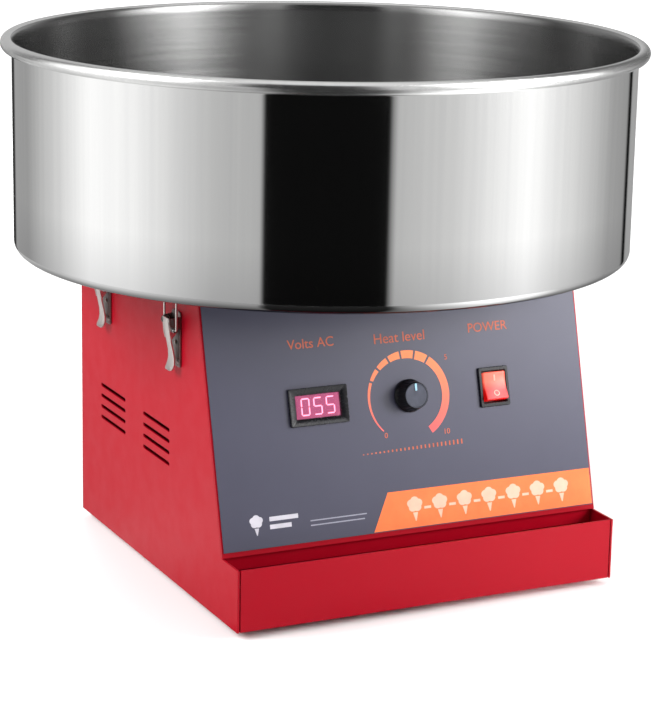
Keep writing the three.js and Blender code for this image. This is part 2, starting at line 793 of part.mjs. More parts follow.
/** The lever: a web that dips towards the panel and flares at its tip, and two cheeks at the top. */
function latchLever() {
  const { halfWidth, pivot } = LATCH;
  const half = LATCH_SHEET / 2;
  const web = outline([
    ...LEVER.spine.map(([u, z]) => [u - half, z]),
    ...LEVER.spine.map(([u, z]) => [u + half, z]).reverse(),
  ]);
  const { cheekU: [near, far], cheekZ: [low, high], cheekRise } = LEVER;
  const cheek = outline([[near, high], [far, high], [far, low], [near, low + cheekRise]]);
  const whole = joined(
    alongY(web, -halfWidth, halfWidth),
    alongY(cheek, halfWidth - LATCH_SHEET, halfWidth),
    alongY(cheek, -halfWidth, LATCH_SHEET - halfWidth),
  );
  const bore = (u, z, radius) => (
    cylinder(radius + GAP, -2 * halfWidth, 2 * halfWidth, 10).rotateX(Math.PI / 2).translate(u, 0, z)
  );
  return cut(whole, bore(...pivot, LATCH.pin), bore(...BAIL.pivot, BAIL.wire));
}

/** The wire bail: in through the lever's cheeks, up both sides, and across at the top. */
function latchBail() {
  const [u, low] = BAIL.pivot;
  const { halfWidth, barZ, wire, bend } = BAIL;
  const half = [
    [LATCH.halfWidth - LATCH_SHEET - 0.8, low],
    [halfWidth - bend, low],
    ...arc(halfWidth - bend, low + bend, bend, -60, -30, 1),
    [halfWidth, low + bend],
    [halfWidth, barZ - bend],
    ...arc(halfWidth - bend, barZ - bend, bend, 30, 60, 1),
    [halfWidth - bend, barZ],
  ];
  const path = [...half, ...half.map(([v, z]) => [-v, z]).reverse()];
  const line = new BentLine(path.map(([v, z]) => new THREE.Vector3(u, v, z)));
  return new THREE.ExtrudeGeometry(disc(0, 0, wire, 6), {
    steps: path.length - 1,
    extrudePath: line,
  });
}

/** The catch under the bowl: a flange to the bowl's floor, and a hook that holds the bail down. */
function bowlCatch() {
  const { halfWidth, flangeU, plateU, tipU, bottomZ, tipZ } = CATCH;
  const t = LATCH_SHEET;
  const top = BOWL.floorZ - GAP;
  const shape = outline([
    [flangeU, top - t],
    [plateU, top - t],
    [plateU, bottomZ],
    [tipU, bottomZ],
    [tipU, tipZ],
    [tipU - t, tipZ],
    [tipU - t, bottomZ + t],
    [plateU + t, bottomZ + t],
    [plateU + t, top],
    [flangeU, top],
  ]);
  return alongY(shape, -halfWidth, halfWidth);
}

function buildLatches() {
  for (const [side, sign] of [['left', -1], ['right', 1]]) {
    for (const [end, y] of Object.entries(LATCH.y)) {
      const latch = new THREE.Group();
      latch.position.set(sign * CABINET.halfWidth, y, 0);
      latch.rotation.z = sign < 0 ? Math.PI : 0;
      add(`latch_base_${end}_${side}`, latchBase(), 'zinc', latch);
      add(`latch_lever_${end}_${side}`, latchLever(), 'zinc', latch);
      add(`latch_bail_${end}_${side}`, latchBail(), 'zinc', latch);
      add(`bowl_catch_${end}_${side}`, bowlCatch(), 'steel', latch);
      machine.add(latch);
    }
  }
}

buildCabinet();
buildControls();
buildElectrics();
buildDrive();
buildBowlAndHead();
buildLatches();

export default machine;
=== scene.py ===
"""The look of a tabletop cotton candy machine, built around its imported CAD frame.

Metres, +Z up, the front faces -Y. A console point is (x, s, h): across, up the slope, out of it.
A latch point is (u, v, z): out of the side panel, across the latch, up.
"""

import math

import bmesh
import bpy
from mathutils import Matrix, Vector


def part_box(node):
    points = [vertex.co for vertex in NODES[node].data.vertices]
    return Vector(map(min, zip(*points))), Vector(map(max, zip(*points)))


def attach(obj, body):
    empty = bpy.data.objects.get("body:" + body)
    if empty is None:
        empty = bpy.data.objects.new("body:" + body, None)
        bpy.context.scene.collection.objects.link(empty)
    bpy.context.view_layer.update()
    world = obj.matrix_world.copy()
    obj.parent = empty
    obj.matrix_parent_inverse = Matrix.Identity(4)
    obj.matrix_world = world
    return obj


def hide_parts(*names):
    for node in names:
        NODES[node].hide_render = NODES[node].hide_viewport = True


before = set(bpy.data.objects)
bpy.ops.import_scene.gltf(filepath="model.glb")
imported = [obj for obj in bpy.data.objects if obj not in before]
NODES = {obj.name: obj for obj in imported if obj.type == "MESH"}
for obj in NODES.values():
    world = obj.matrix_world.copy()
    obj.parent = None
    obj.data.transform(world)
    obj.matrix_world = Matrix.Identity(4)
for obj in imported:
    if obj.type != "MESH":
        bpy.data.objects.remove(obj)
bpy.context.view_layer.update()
MM = 0.001

# ---------------------------------------------------------------- driving values

CONSOLE_LEAN = math.radians(15)
FILM_FACE = 0.8 * MM  # the film's printed face, above the console's steel
BEZEL_FOOT = FILM_FACE + 0.3 * MM
INK = 0.12 * MM  # thickness of the printed graphics
ROW_S = 107 * MM  # the meter, knob and switch are this far up the slope
METER_X = -72.7 * MM
METER_BEZEL = (49.5 * MM, 29.3 * MM)
METER_WINDOW = (38 * MM, 19 * MM)
METER_DEPTH = 20 * MM
KNOB_X = 5.7 * MM
KNOB_FLUTES = 18
KNOB_TOP = 13.9 * MM  # everything above this is the knob's flat face
SCALE_RADIUS = 35.6  # the heat scale's outer edge, in mm about the knob
SWITCH_X = 81 * MM
SWITCH_FRAME = (26.5 * MM, 31.5 * MM)
SWITCH_WELL = (20.6 * MM, 24.6 * MM)
SWITCH_DEPTH = 16 * MM
ROCKER_TILT = -0.175  # radians, in the on position
ROCKER_HALF = 9.9 * MM
ROCKER_LIFT = 0.5 * MM
SYMBOL_SLOPE = 0.24  # radians, the dished rocker's face under its symbols

BOWL_SHEET = 1.2 * MM
BOWL_BEAD = 5 * MM  # the rolled rim's radius
BOWL_CORNER = 7 * MM
BOWL_WALL_INSET = 9 * MM  # from the rim's edge to the wall
BOWL_HOLE = 48 * MM
BOWL_COLLAR = 25 * MM
LID_RISE = 12 * MM
POST_RADIUS = 48 * MM  # the four posts that hold the spinner's lid
POST_DEGREES = (45, 135, 225, 315)
BAND_SLOTS = 24
BAND_MARGIN = 6 * MM
BAND_SHEET = 1.2 * MM
HEATER_WAVES = 44

LATCH_PIVOT = (7 * MM, 220 * MM)
LATCH_PLATE = (17 * MM, 44 * MM)
LATCH_PLATE_Z = 206 * MM
EAR_OUT = 8.5 * MM
CHEEK_OUT = 5.9 * MM
BAIL_PIVOT = (6 * MM, 214 * MM)
BAIL_WIRE = 0.95 * MM
# These three latch sizes are in mm, as the latch outlines are.
SHEET = 1.1  # the lever's and the catch's metal
BAIL_LOOP = (242.5, 12.0, 3.2)  # its top, half its width and its bends' radius
CATCH_TOP = 249.7

SHARP = math.radians(32)  # edges that turn by more than this stay crisp

CAMERA_AT = (-0.87273, -1.81218, 0.67216)
CAMERA_YAW = math.radians(25.86)
CAMERA_PITCH = math.radians(14.49)
CAMERA_ROLL = math.radians(1.08)
CAMERA_LENS = 125.0

SKY = (0.28, 0.78)  # brightness at the horizon and overhead
RING_RADIUS = 1.05
RING_FOOT = 0.001
RING_SPLIT = 0.32  # the height where the low cards end and the high ones start
RING_TOP = 1.7
FLOOR_CARD = (0.05, 1.045)
FLOOR_CARD_HEIGHT = 0.0015
FLOOR_REACH = 80
FLOOR_GLOW = ((1.2, 4), (0, 0.8))  # from these distances to these strengths

# Cards are (compass degrees from -Y towards +X, brightness).
LOW_CARDS = [
    (-180, 0.03), (-172, 0.03), (-169, 0.36), (-150, 0.36), (-125, 0.75), (-108, 1.15), (-90, 1.05),
    (-60, 0.55), (-44.6, 0.5), (-44.3, 0.004), (-4.4, 0.004), (-4.1, 0.54), (15, 0.68), (30, 0.95),
    (44, 1.2), (58, 0.9), (90, 0.4), (106, 0.33), (107.8, 0.004), (111.2, 0.004), (112.8, 0.4),
    (140, 0.34), (167, 0.34), (170, 0.03), (180, 0.03),
]
HIGH_CARDS = [
    (-180, 0.5), (-160, 0.5), (-135, 0.1), (-108, 1.8), (-90, 3.9), (-75, 2.2), (-64, 0.5),
    (-53, 0.7), (-50, 0.01), (-9, 0.01), (-6, 0.8), (8, 0.5), (20, 2.0), (38, 6.6), (58, 3.2),
    (75, 0.3), (115, 0.1), (140, 0.5), (180, 0.5),
]
FLOOR_CARDS = [
    (-180, 0.4), (-165, 0.6), (-140, 0.6), (-125, 0.7), (-108, 0.95), (-90, 0.85), (-60, 0.45),
    (-45, 0.4), (-43, 0.02), (-5, 0.02), (-2, 0.3), (15, 1.2), (30, 2.2), (45, 1.8), (60, 0.8),
    (90, 0.35), (180, 0.35),
]
SOFTBOXES = [  # name, place, aim, size, watts
    ("left_softbox", (-1.9, 0.1, 1.5), (0, 0, 0.2), (1.2, 1.2), 62),
    ("right_softbox", (0.75, -0.75, 0.45), (0, 0, 0.12), (0.4, 0.5), 12),
    ("rear_softbox", (0.6, 1.9, 1.5), (0, 0, 0.2), (1.2, 1.2), 25),
]

# ---------------------------------------------------------------- materials


class Finish:
    """A procedural material: a Principled shader and the few nodes that vary it."""

    def __init__(self, name, base, roughness, metallic=0.0, **sockets):
        self.material = bpy.data.materials.new(name)
        self.material.use_nodes = True
        self.tree = self.material.node_tree
        self.shader = self.tree.nodes["Principled BSDF"]
        self.base = (*base, 1.0)
        self.set("Base Color", self.base)
        self.set("Roughness", roughness)
        self.set("Metallic", metallic)
        self.roughness = roughness
        for key, value in sockets.items():
            self.set(key.replace("_", " "), value)

    def set(self, socket, value):
        """Sets one of the shader's own values."""
        self.shader.inputs[socket].default_value = value

    def node(self, kind, **values):
        """Adds a node and sets its properties."""
        made = self.tree.nodes.new(kind)
        for key, value in values.items():
            setattr(made, key, value)
        return made

    def link(self, output, target):
        self.tree.links.new(output, target)

    def coords(self, stretch):
        """Object coordinates; a small stretch draws the pattern out along that axis."""
        source = self.node("ShaderNodeTexCoord")
        mapping = self.node("ShaderNodeMapping")
        mapping.inputs["Scale"].default_value = stretch
        self.link(source.outputs["Object"], mapping.inputs["Vector"])
        return mapping.outputs["Vector"]

    def height(self):
        """The height of a point above the object's own origin."""
        source = self.node("ShaderNodeTexCoord")
        split = self.node("ShaderNodeSeparateXYZ")
        self.link(source.outputs["Object"], split.inputs[0])
        return split.outputs["Z"]

    def noise(self, scale, detail, stretch=(1, 1, 1)):
        made = self.node("ShaderNodeTexNoise")
        made.inputs["Scale"].default_value = scale
        made.inputs["Detail"].default_value = detail
        self.link(self.coords(stretch), made.inputs["Vector"])
        return made.outputs["Fac"]

    def remap(self, value, from_range, to_range):
        made = self.node("ShaderNodeMapRange")
        made.inputs["From Min"].default_value = from_range[0]
        made.inputs["From Max"].default_value = from_range[1]
        made.inputs["To Min"].default_value = to_range[0]
        made.inputs["To Max"].default_value = to_range[1]
        self.link(value, made.inputs["Value"])
        return made.outputs["Result"]

    def vary_colour(self, factor, other):
        """The colour so far runs to another one where the factor is 1."""
        mix = self.node("ShaderNodeMix", data_type="RGBA")
        first, second = [socket for socket in mix.inputs if socket.type == "RGBA"]
        target = self.shader.inputs["Base Color"]
        if target.is_linked:
            self.link(target.links[0].from_socket, first)
        else:
            first.default_value = self.base
        second.default_value = (*other, 1.0)
        self.link(factor, mix.inputs["Factor"])
        colour = [o for o in mix.outputs if o.type == "RGBA"][0]
        self.link(colour, target)
        return colour

    def mottle(self, scale, detail, span, other, stretch=(1, 1, 1)):
        """Patches of another colour, where a noise rises over a span of its values."""
        self.vary_colour(self.remap(self.noise(scale, detail, stretch), span, (0, 1)), other)

    def vary_roughness(self, factor, spread):
        """The roughness runs from spread below its value to spread above it."""
        low, high = max(0.02, self.roughness - spread), self.roughness + spread
        self.link(self.remap(factor, (0.3, 0.7), (low, high)), self.shader.inputs["Roughness"])

    def bump(self, height, distance, strength, bevel=0.0):
        """Relief from a height; bevel also rounds sharp edges by that radius."""
        made = self.node("ShaderNodeBump")
        made.inputs["Distance"].default_value = distance
        made.inputs["Strength"].default_value = strength
        self.link(height, made.inputs["Height"])
        if bevel:
            edge = self.node("ShaderNodeBevel", samples=4)
            edge.inputs["Radius"].default_value = bevel
            self.link(edge.outputs["Normal"], made.inputs["Normal"])
        self.link(made.outputs["Normal"], self.shader.inputs["Normal"])


def red_paint():
    """Red powder coat with a faint orange peel."""
    finish = Finish("red_powder_coat", (0.345, 0.001, 0.0105), 0.4, IOR=1.25)
    finish.mottle(7, 2, (0.35, 0.65), (0.34, 0.001, 0.01))
    finish.vary_roughness(finish.noise(60, 4), 0.05)
    finish.bump(finish.noise(900, 2), 0.05 * MM, 0.35, bevel=0.7 * MM)
    return finish.material


def plastic(name, base, roughness, grain=1800, depth=0.03, **sockets):
    """Moulded plastic with a fine spark-eroded grain."""
    finish = Finish(name, base, roughness, **sockets)
    lighter = tuple(min(1, channel * 1.35 + 0.003) for channel in base)
    finish.mottle(140, 3, (0.4, 0.75), lighter)
    finish.vary_roughness(finish.noise(300, 2), 0.06)
    finish.bump(finish.noise(grain, 2), depth * MM, 0.6, bevel=0.3 * MM)
    return finish.material


def metal(name, base, roughness, stretch=(1, 1, 1), scale=400, **sockets):
    """Bare or plated metal with a grain along the axis that stretch makes small."""
    finish = Finish(name, base, roughness, 1.0, **sockets)
    darker = tuple(channel * 0.8 for channel in base)
    finish.mottle(scale / 4, 4, (0.35, 0.7), darker, stretch)
    grain = finish.noise(scale, 4, stretch)
    finish.vary_roughness(grain, roughness * 0.35)
    finish.bump(grain, 0.02 * MM, 0.5)
    return finish.material


def bowl_steel(name, roughness, base, stretch, anisotropy=0.0, painted_shade_bands=()):
    """Rolled stainless sheet, smeared by its anisotropy; the darkening bands, given as (heights,
    share of the base), are painted shade towards the bottom.
    """
    finish = Finish(name, (base, base, base * 0.99), roughness, 1.0)
    if anisotropy:
        finish.set("Anisotropic", anisotropy)
        finish.set("Anisotropic Rotation", 0.25)
        around = finish.node("ShaderNodeTangent", direction_type="RADIAL", axis="Z")
        finish.link(around.outputs["Tangent"], finish.shader.inputs["Tangent"])
    finish.vary_roughness(finish.noise(300, 2, stretch), roughness * 0.06)
    finish.mottle(160, 3, (0.35, 0.7), (base * 0.95, base * 0.95, base * 0.945), stretch)
    height = finish.height()
    # Painted shade: below each span of heights the colour darkens to that share of the base.
    for span, share in painted_shade_bands:
        finish.vary_colour(finish.remap(height, span, (1, 0)), (base * share,) * 3)
    return finish.material


def panel_film():
    """The console's printed plastic film."""
    finish = Finish("panel_film", (0.044, 0.043, 0.073), 0.32, Specular_IOR_Level=0.7)
    finish.mottle(30, 3, (0.3, 0.7), (0.047, 0.046, 0.077))
    finish.vary_roughness(finish.noise(500, 2), 0.04)
    finish.bump(finish.noise(2600, 2), 0.02 * MM, 0.5)
    return finish.material


def ink(name, base, other=None, span=(0.15, 0.25)):
    """Screen-printed ink; other is the colour that it runs to, over a span of heights."""
    finish = Finish(name, base, 0.5)
    if other:
        finish.vary_colour(finish.remap(finish.height(), span, (1, 0)), other)
    else:
        paler = tuple(min(1, channel * 1.12) for channel in base)
        finish.mottle(90, 3, (0.35, 0.65), paler)
    finish.vary_roughness(finish.noise(700, 2), 0.05)
    finish.bump(finish.noise(2600, 2), 0.015 * MM, 0.4)
    return finish.material


def lit(name, colour, strength, low=None, span=None):
    """Plastic that glows: lit from inside for the digits, the rocker and its symbols, a painted glow
    for the display face; low is the colour of its lower end, over a span of heights.
    """
    finish = Finish(name, colour, 0.22, Coat_Weight=0.4)
    finish.set("Emission Color", (*colour, 1))
    finish.set("Emission Strength", strength)
    if low:
        mixed = finish.vary_colour(finish.remap(finish.height(), span, (1, 0)), low)
        finish.link(mixed, finish.shader.inputs["Emission Color"])
    finish.bump(finish.noise(700, 2), 0.02 * MM, 0.3)
    return finish.material


def clear_window():
    """The meter's clear cover, tinted by its red filter."""
    finish = Finish("clear_window", (1.0, 0.8, 0.86), 0.12, Transmission_Weight=1.0, IOR=1.08)
    finish.vary_roughness(finish.noise(300, 2), 0.03)
    return finish.material


def board_green():
    """A circuit board's solder mask with paler tracks."""
    finish = Finish("solder_mask", (0.015, 0.12, 0.05), 0.35)
    finish.mottle(420, 1, (0.52, 0.56), (0.03, 0.2, 0.09))
    finish.bump(finish.noise(420, 1), 0.05 * MM, 0.4)
    return finish.material


RED = red_paint()
FILM = panel_film()
BLACK = plastic("black_plastic", (0.012, 0.012, 0.014), 0.38)
BEZEL = plastic("bezel_plastic", (0.006, 0.006, 0.008), 0.25, Specular_IOR_Level=0.5)
KNOB_BODY = plastic("knob_plastic", (0.004, 0.0045, 0.006), 0.4, Specular_IOR_Level=0.3)
KNOB_FACE = plastic("knob_face", (0.045, 0.048, 0.068), 0.5, 900, 0.02)
RUBBER = plastic("foot_rubber", (0.012, 0.012, 0.012), 0.8, 700, 0.06)
PHENOLIC = plastic("phenolic_block", (0.03, 0.02, 0.015), 0.45, 1200)
CARBON = plastic("brush_carbon", (0.03, 0.028, 0.027), 0.6, 2500, 0.05)
SILICONE = plastic("gasket_silicone", (0.6, 0.58, 0.54), 0.6)
MOTOR_ENAMEL = plastic("motor_enamel", (0.04, 0.045, 0.055), 0.4, 500, 0.05)
ZINC = metal("zinc_plate", (0.6, 0.6, 0.57), 0.3)
# The latch plate's nickel is darkened as painted shade of the lever, with a reddish painted
# reflection of the red panel.
PAINTED_SHADE_PLATE_NICKEL = metal("latch_plate", (0.3, 0.24, 0.23), 0.45, (1, 1, 0.1), 700)
# This nickel's pink tint is a painted reflection of the red cabinet.
PINK_REFLECTION_NICKEL = metal("nickel_painted_pink_reflection", (0.82, 0.74, 0.71), 0.42, (1, 1, 0.1), 700, Coat_Weight=0.2)
SHAFT = metal("ground_steel", (0.55, 0.55, 0.55), 0.22, (1, 1, 8), 300)
ALUMINIUM = metal("turned_aluminium", (0.72, 0.73, 0.74), 0.32, (0.4, 0.4, 6), 350)
BRASS = metal("plain_brass", (0.72, 0.48, 0.18), 0.28)
RIBBON = metal("heat_tinted_ribbon", (0.36, 0.29, 0.24), 0.38)
BAND_STEEL = metal("band_steel", (0.62, 0.61, 0.6), 0.25, (1, 1, 0.05), 600)
# The outside's colour darkens towards its bottom bend as painted shade, almost to black at the bend
# itself.
BOWL_OUTSIDE = bowl_steel("bowl_outside", 0.06, 0.86, (1, 1, 0.012),
                          painted_shade_bands=[((0.25, 0.3), 0.75), ((0.2512, 0.256), 0.03)])
BOWL_RIM = bowl_steel("bowl_rim", 0.24, 0.86, (1, 1, 0.3))
# The inside is the outside's steel with its colour darkened: its brushed grain is real, the darkness
# is painted shade.
BOWL_INSIDE_PAINTED_SHADE = bowl_steel("bowl_inside_painted_shade", 0.245, 0.365, (0.02, 0.02, 1), 0.95)
BOARD = board_green()
INK_ORANGE = ink("ink_orange", (0.52, 0.115, 0.05))
INK_SCALE = ink("ink_scale", (0.95, 0.27, 0.11), (0.72, 0.09, 0.12), (0.12, 0.19))
INK_BANNER = ink("ink_banner", (0.95, 0.17, 0.045))
INK_PALE = ink("ink_pale", (0.8, 0.45, 0.33))
INK_WHITE = ink("ink_white", (0.56, 0.54, 0.6))
INK_GREY = ink("ink_grey", (0.3, 0.3, 0.36))
POINTER = ink("pointer_blue", (0.35, 0.6, 0.75))
# The display face's glow is painted: it is no lamp.
DISPLAY_PAINTED_GLOW = lit("display_face", (0.36, 0.1, 0.2), 0.35)
DIGIT = lit("display_digit", (1.0, 0.5, 0.62), 1.0)
ROCKER = lit("rocker_red", (0.85, 0.1, 0.06), 0.6, (0.55, 0.003, 0.003), (0.157, 0.1635))
SYMBOL = lit("rocker_symbol", (0.9, 0.32, 0.26), 0.6)

# ---------------------------------------------------------------- shape helpers


def mm(points):
    """Points given in millimetres, as metres."""
    return [tuple(value * MM for value in point) for point in points]


def arc(a, b, radius, start, end, steps):
    """Points of an arc about (a, b), from start to end in degrees."""
    angles = [math.radians(start + (end - start) * i / steps) for i in range(steps + 1)]
    return [(a + radius * math.cos(t), b + radius * math.sin(t)) for t in angles]


def rounded(width, height, radius, steps=4, centre=(0, 0)):
    """A rectangle's outline with round corners."""
    a, b = width / 2 - radius, height / 2 - radius
    corners = [(a, b, 0), (-a, b, 90), (-a, -b, 180), (a, -b, 270)]
    points = [p for x, y, t in corners for p in arc(x, y, radius, t, t + 90, steps)]
    return [(x + centre[0], y + centre[1]) for x, y in points]


def loft(bm, loops, caps=True, wrap=False):
    """Skins closed loops of equal count; caps closes the ends, wrap joins the last to the first."""
    rings = [[bm.verts.new(p) for p in loop] for loop in loops]
    count = len(rings[0])
    pairs = list(zip(rings, rings[1:])) + ([(rings[-1], rings[0])] if wrap else [])
    for low, high in pairs:
        for i in range(count):
            j = (i + 1) % count
            bm.faces.new((low[i], low[j], high[j], high[i]))
    if caps and not wrap:
        bm.faces.new(rings[0])
        bm.faces.new(rings[-1])


def lathe(bm, profile, segments, place=None, wrap=False):
    """Turns a (radius, height) profile about Z; points on the axis are welded into one."""
    place = place or Matrix.Identity(4)
    steps = [2 * math.pi * i / segments for i in range(segments)]
    loops = [
        [place @ Vector((r * math.cos(t), r * math.sin(t), z)) for t in steps] for r, z in profile
    ]
    loft(bm, loops, caps=False, wrap=wrap)
    bmesh.ops.remove_doubles(bm, verts=bm.verts, dist=1e-7)


def prism(bm, outline, low, high, place, bevel=0.0):
    """An outline in the local XY plane, solid from low to high, its top edge eased by bevel."""
    middle = Vector((sum(p[0] for p in outline), sum(p[1] for p in outline))) / len(outline)

    def loop(height, inset):
        points = []
        for p in outline:
            out = Vector(p) - middle
            shorter = out * (1 - inset / max(out.length, 1e-6))
            points.append(place @ Vector((*(middle + shorter), height)))
        return points

    heights = [(low, 0), (high, 0)]
    if bevel:
        heights = [(low, 0), (high - bevel, 0), (high - bevel * 0.3, bevel * 0.3), (high, bevel)]
    loft(bm, [loop(height, inset) for height, inset in heights])


def tube(bm, points, radius, sides):
    """A round wire along a path."""
    last = len(points) - 1
    side = None
    loops = []
    for i, point in enumerate(points):
        before = points[max(0, i - 1)]
        after = points[min(last, i + 1)]
        along = (after - before).normalized()
        if side is None:
            side = along.orthogonal().normalized()
        side = (side - along * side.dot(along)).normalized()
        across = along.cross(side)
        turns = [2 * math.pi * k / sides for k in range(sides)]
        loops.append([point + radius * (math.cos(t) * side + math.sin(t) * across) for t in turns])
    loft(bm, loops)


def mesh_object(name, bm, materials):
    """Puts a shape into the scene as an object of its own."""
    mesh = bpy.data.meshes.new(name)
    bm.to_mesh(mesh)
    bm.free()
    for material in materials:
        mesh.materials.append(material)
    obj = bpy.data.objects.new(name, mesh)
    bpy.context.scene.collection.objects.link(obj)
    return obj


def piece(name, bm, material, body, replaces=()):
    """Makes a shape into an object that rides on a body, and stands for the nodes it replaces."""
    bmesh.ops.recalc_face_normals(bm, faces=bm.faces)
    for face in bm.faces:
        face.smooth = True
    for edge in bm.edges:
        edge.smooth = len(edge.link_faces) == 2 and edge.calc_face_angle(0) < SHARP
    obj = mesh_object(name, bm, material if isinstance(material, list) else [material])
    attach(obj, body)
    if replaces:
        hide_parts(*replaces)
    return obj


def frame_at(origin, x_axis, y_axis):
    """A placing matrix from an origin and two axes; the third is their cross product."""
    x, y = Vector(x_axis).normalized(), Vector(y_axis).normalized()
    z = x.cross(y)
    made = Matrix((x, y, z)).transposed().to_4x4()
    made.translation = Vector(origin)
    return made


def dome(bm, place, radius, height):
    """A rivet head: a low dome on the local XY plane."""
    steps, segments = 4, 20
    profile = [(radius, -0.2 * MM), (radius, height * 0.25)]
    for i in range(1, steps + 1):
        t = math.pi / 2 * i / steps
        profile.append((radius * math.cos(t), height * (0.25 + 0.75 * math.sin(t))))
    profile[-1] = (0, height)
    lathe(bm, [(0, -0.2 * MM), *profile], segments, place)


def pan_screw(bm, place, radius, height):
    """A pan head with a fine cross on its top."""
    dome(bm, place, radius, height)
    slot_width, slot_length = radius * 0.28, radius * 1.1
    for width, length in ((slot_length, slot_width), (slot_width, slot_length)):
        outline = rounded(width, length, slot_width * 0.4, 2)
        prism(bm, outline, height * 0.6, height * 1.02, place)


# ---------------------------------------------------------------- console

CONSOLE_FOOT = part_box("front_panel")[0]
CONSOLE = frame_at(
    (0, CONSOLE_FOOT.y, CONSOLE_FOOT.z),
    (1, 0, 0),
    (0, math.sin(CONSOLE_LEAN), math.cos(CONSOLE_LEAN)),
)


def on_console(x, lift=0.0):
    """The placing matrix of a control in the row of controls."""
    return CONSOLE @ Matrix.Translation((x, ROW_S, lift))


def printed(name, outlines, material, lift=0.0):
    """Printed shapes on the film, from outlines in (x, s) millimetres."""
    bm = bmesh.new()
    low = FILM_FACE - 0.05 * MM
    high = FILM_FACE + INK + lift
    for outline in outlines:
        prism(bm, mm(outline), low, high, CONSOLE)
    piece(name, bm, material, "cabinet")


def lettering(name, text, x, s, cap_height, material):
    """Generic lettering, centred at a console point."""
    curve = bpy.data.curves.new(name, "FONT")
    curve.body = text
    curve.size = cap_height / 0.7 * MM
    curve.align_x = "CENTER"
    curve.align_y = "CENTER"
    curve.extrude = INK / 2
    holder = bpy.data.objects.new(name + "_curve", curve)
    bpy.context.scene.collection.objects.link(holder)
    bpy.context.view_layer.update()
    evaluated = holder.evaluated_get(bpy.context.evaluated_depsgraph_get())
    mesh = bpy.data.meshes.new_from_object(evaluated)
    bpy.data.objects.remove(holder)
    bm = bmesh.new()
    bm.from_mesh(mesh)
    bmesh.ops.remove_doubles(bm, verts=bm.verts, dist=1e-6)
    bm.transform(CONSOLE @ Matrix.Translation((x * MM, s * MM, FILM_FACE + INK / 2)))
    piece(name, bm, material, "cabinet")


def scale_segment(start, end, thick_start, thick_end):
    """A stretch of the heat scale, from one angle to another, in degrees about the knob."""
    centre = (KNOB_X / MM, ROW_S / MM)
    steps = max(2, int(abs(end - start) / 3))
    outer, inner = [], []
    for i in range(steps + 1):
        share = i / steps
        angle = math.radians(start + (end - start) * share)
        thick = thick_start + (thick_end - thick_start) * share
        for side, reach in ((outer, SCALE_RADIUS), (inner, SCALE_RADIUS - thick)):
            side.append((centre[0] + reach * math.cos(angle), centre[1] + reach * math.sin(angle)))
    return outer + inner[::-1]


def strip(outline):
    """Splits a band's outline into quads, so that a curved band stays clean."""
    half = len(outline) // 2
    outer, inner = outline[:half], outline[half:][::-1]
    return [[outer[i], outer[i + 1], inner[i + 1], inner[i]] for i in range(half - 1)]


def ring_quads(radius, thick):
    """A flat ring about the origin, as quads."""
    steps = 28
    outer = arc(0, 0, radius + thick / 2, 0, 360, steps)
    inner = arc(0, 0, radius - thick / 2, 0, 360, steps)
    return strip(outer + inner[::-1])


def bar(x0, s0, x1, s1, thick):
    """A straight stroke between two points."""
    along = Vector((x1 - x0, s1 - s0)).normalized() * thick / 2
    side = Vector((-along.y, along.x))
    ends = [Vector((x0, s0)) - side, Vector((x1, s1)) - side, Vector((x1, s1)) + side]
    return [tuple(p) for p in (*ends, Vector((x0, s0)) + side)]


def puff_on_stick(x, s, size):
    """A pictogram: a cloud of spun sugar above its paper cone."""
    cloud = []
    for i in range(60):
        t = 2 * math.pi * i / 60
        reach = size * (0.3 + 0.06 * abs(math.cos(2.5 * (t - math.pi / 2))))
        cloud.append((x + reach * 1.12 * math.cos(t), s + 0.2 * size + reach * math.sin(t)))
    cone = [(-0.13, -0.17), (0.13, -0.17), (0.02, -0.56), (-0.02, -0.56)]
    return [cloud, [(x + a * size, s + b * size) for a, b in cone]]


def console_print():
    """The film's graphics: labels, the heat scale, the banner and the generic marks."""
    lettering("label_volts", "Volts AC", -74, 155, 7.4, INK_ORANGE)
    lettering("label_heat", "Heat level", 2, 153, 7.8, INK_ORANGE)
    lettering("label_power", "POWER", 80.3, 154.5, 7.2, INK_ORANGE)
    gaps = [158, 139, 119, 99, 78, 57]
    thicks = [2.4, 3.6, 4.8, 5.8, 6.4, 6.6]
    parts = strip(scale_segment(226, gaps[0], 0.9, thicks[0]))
    for i in range(len(gaps) - 1):
        parts += strip(scale_segment(gaps[i] - 3, gaps[i + 1], thicks[i] + 0.4, thicks[i + 1]))
    parts += strip(scale_segment(54, -60, 6.4, 6.2))
    printed("heat_scale", parts, INK_SCALE)
    lettering("scale_0", "0", -17, 78, 4.2, INK_ORANGE)
    lettering("scale_5", "5", 41, 134, 4.2, INK_ORANGE)
    lettering("scale_10", "10", 36, 76, 4.2, INK_ORANGE)
    ticks = [bar(-38 + 3.6 * i, 65, -38 + 3.6 * i, 65.8 + 0.13 * i, 1.1) for i in range(25)]
    printed("heat_ticks", ticks, INK_ORANGE)
    banner = [(-35, 4.7), (161.2, 4.7), (161.2, 33.3), (-20.4, 34.1)]
    printed("banner", [banner], INK_BANNER)
    marks = []
    for i in range(7):
        marks += puff_on_stick(2 + 22 * i, 19, 17)
    for i in range(6):
        marks.append(bar(10 + 22 * i, 19, 16 + 22 * i, 19, 2))
    printed("banner_marks", marks, INK_PALE, 0.05 * MM)
    mark = puff_on_stick(-133, 22, 14)
    mark += [bar(-122, 25.5, -98, 25.5, 3.4), bar(-122, 19.5, -104, 19.5, 3.4)]
    printed("corner_mark", mark, INK_WHITE)
    lines = [bar(-88, 20.2, -40, 20.2, 0.9), bar(-88, 16.6, -42, 16.6, 0.9)]
    printed("small_lines", lines, INK_GREY)


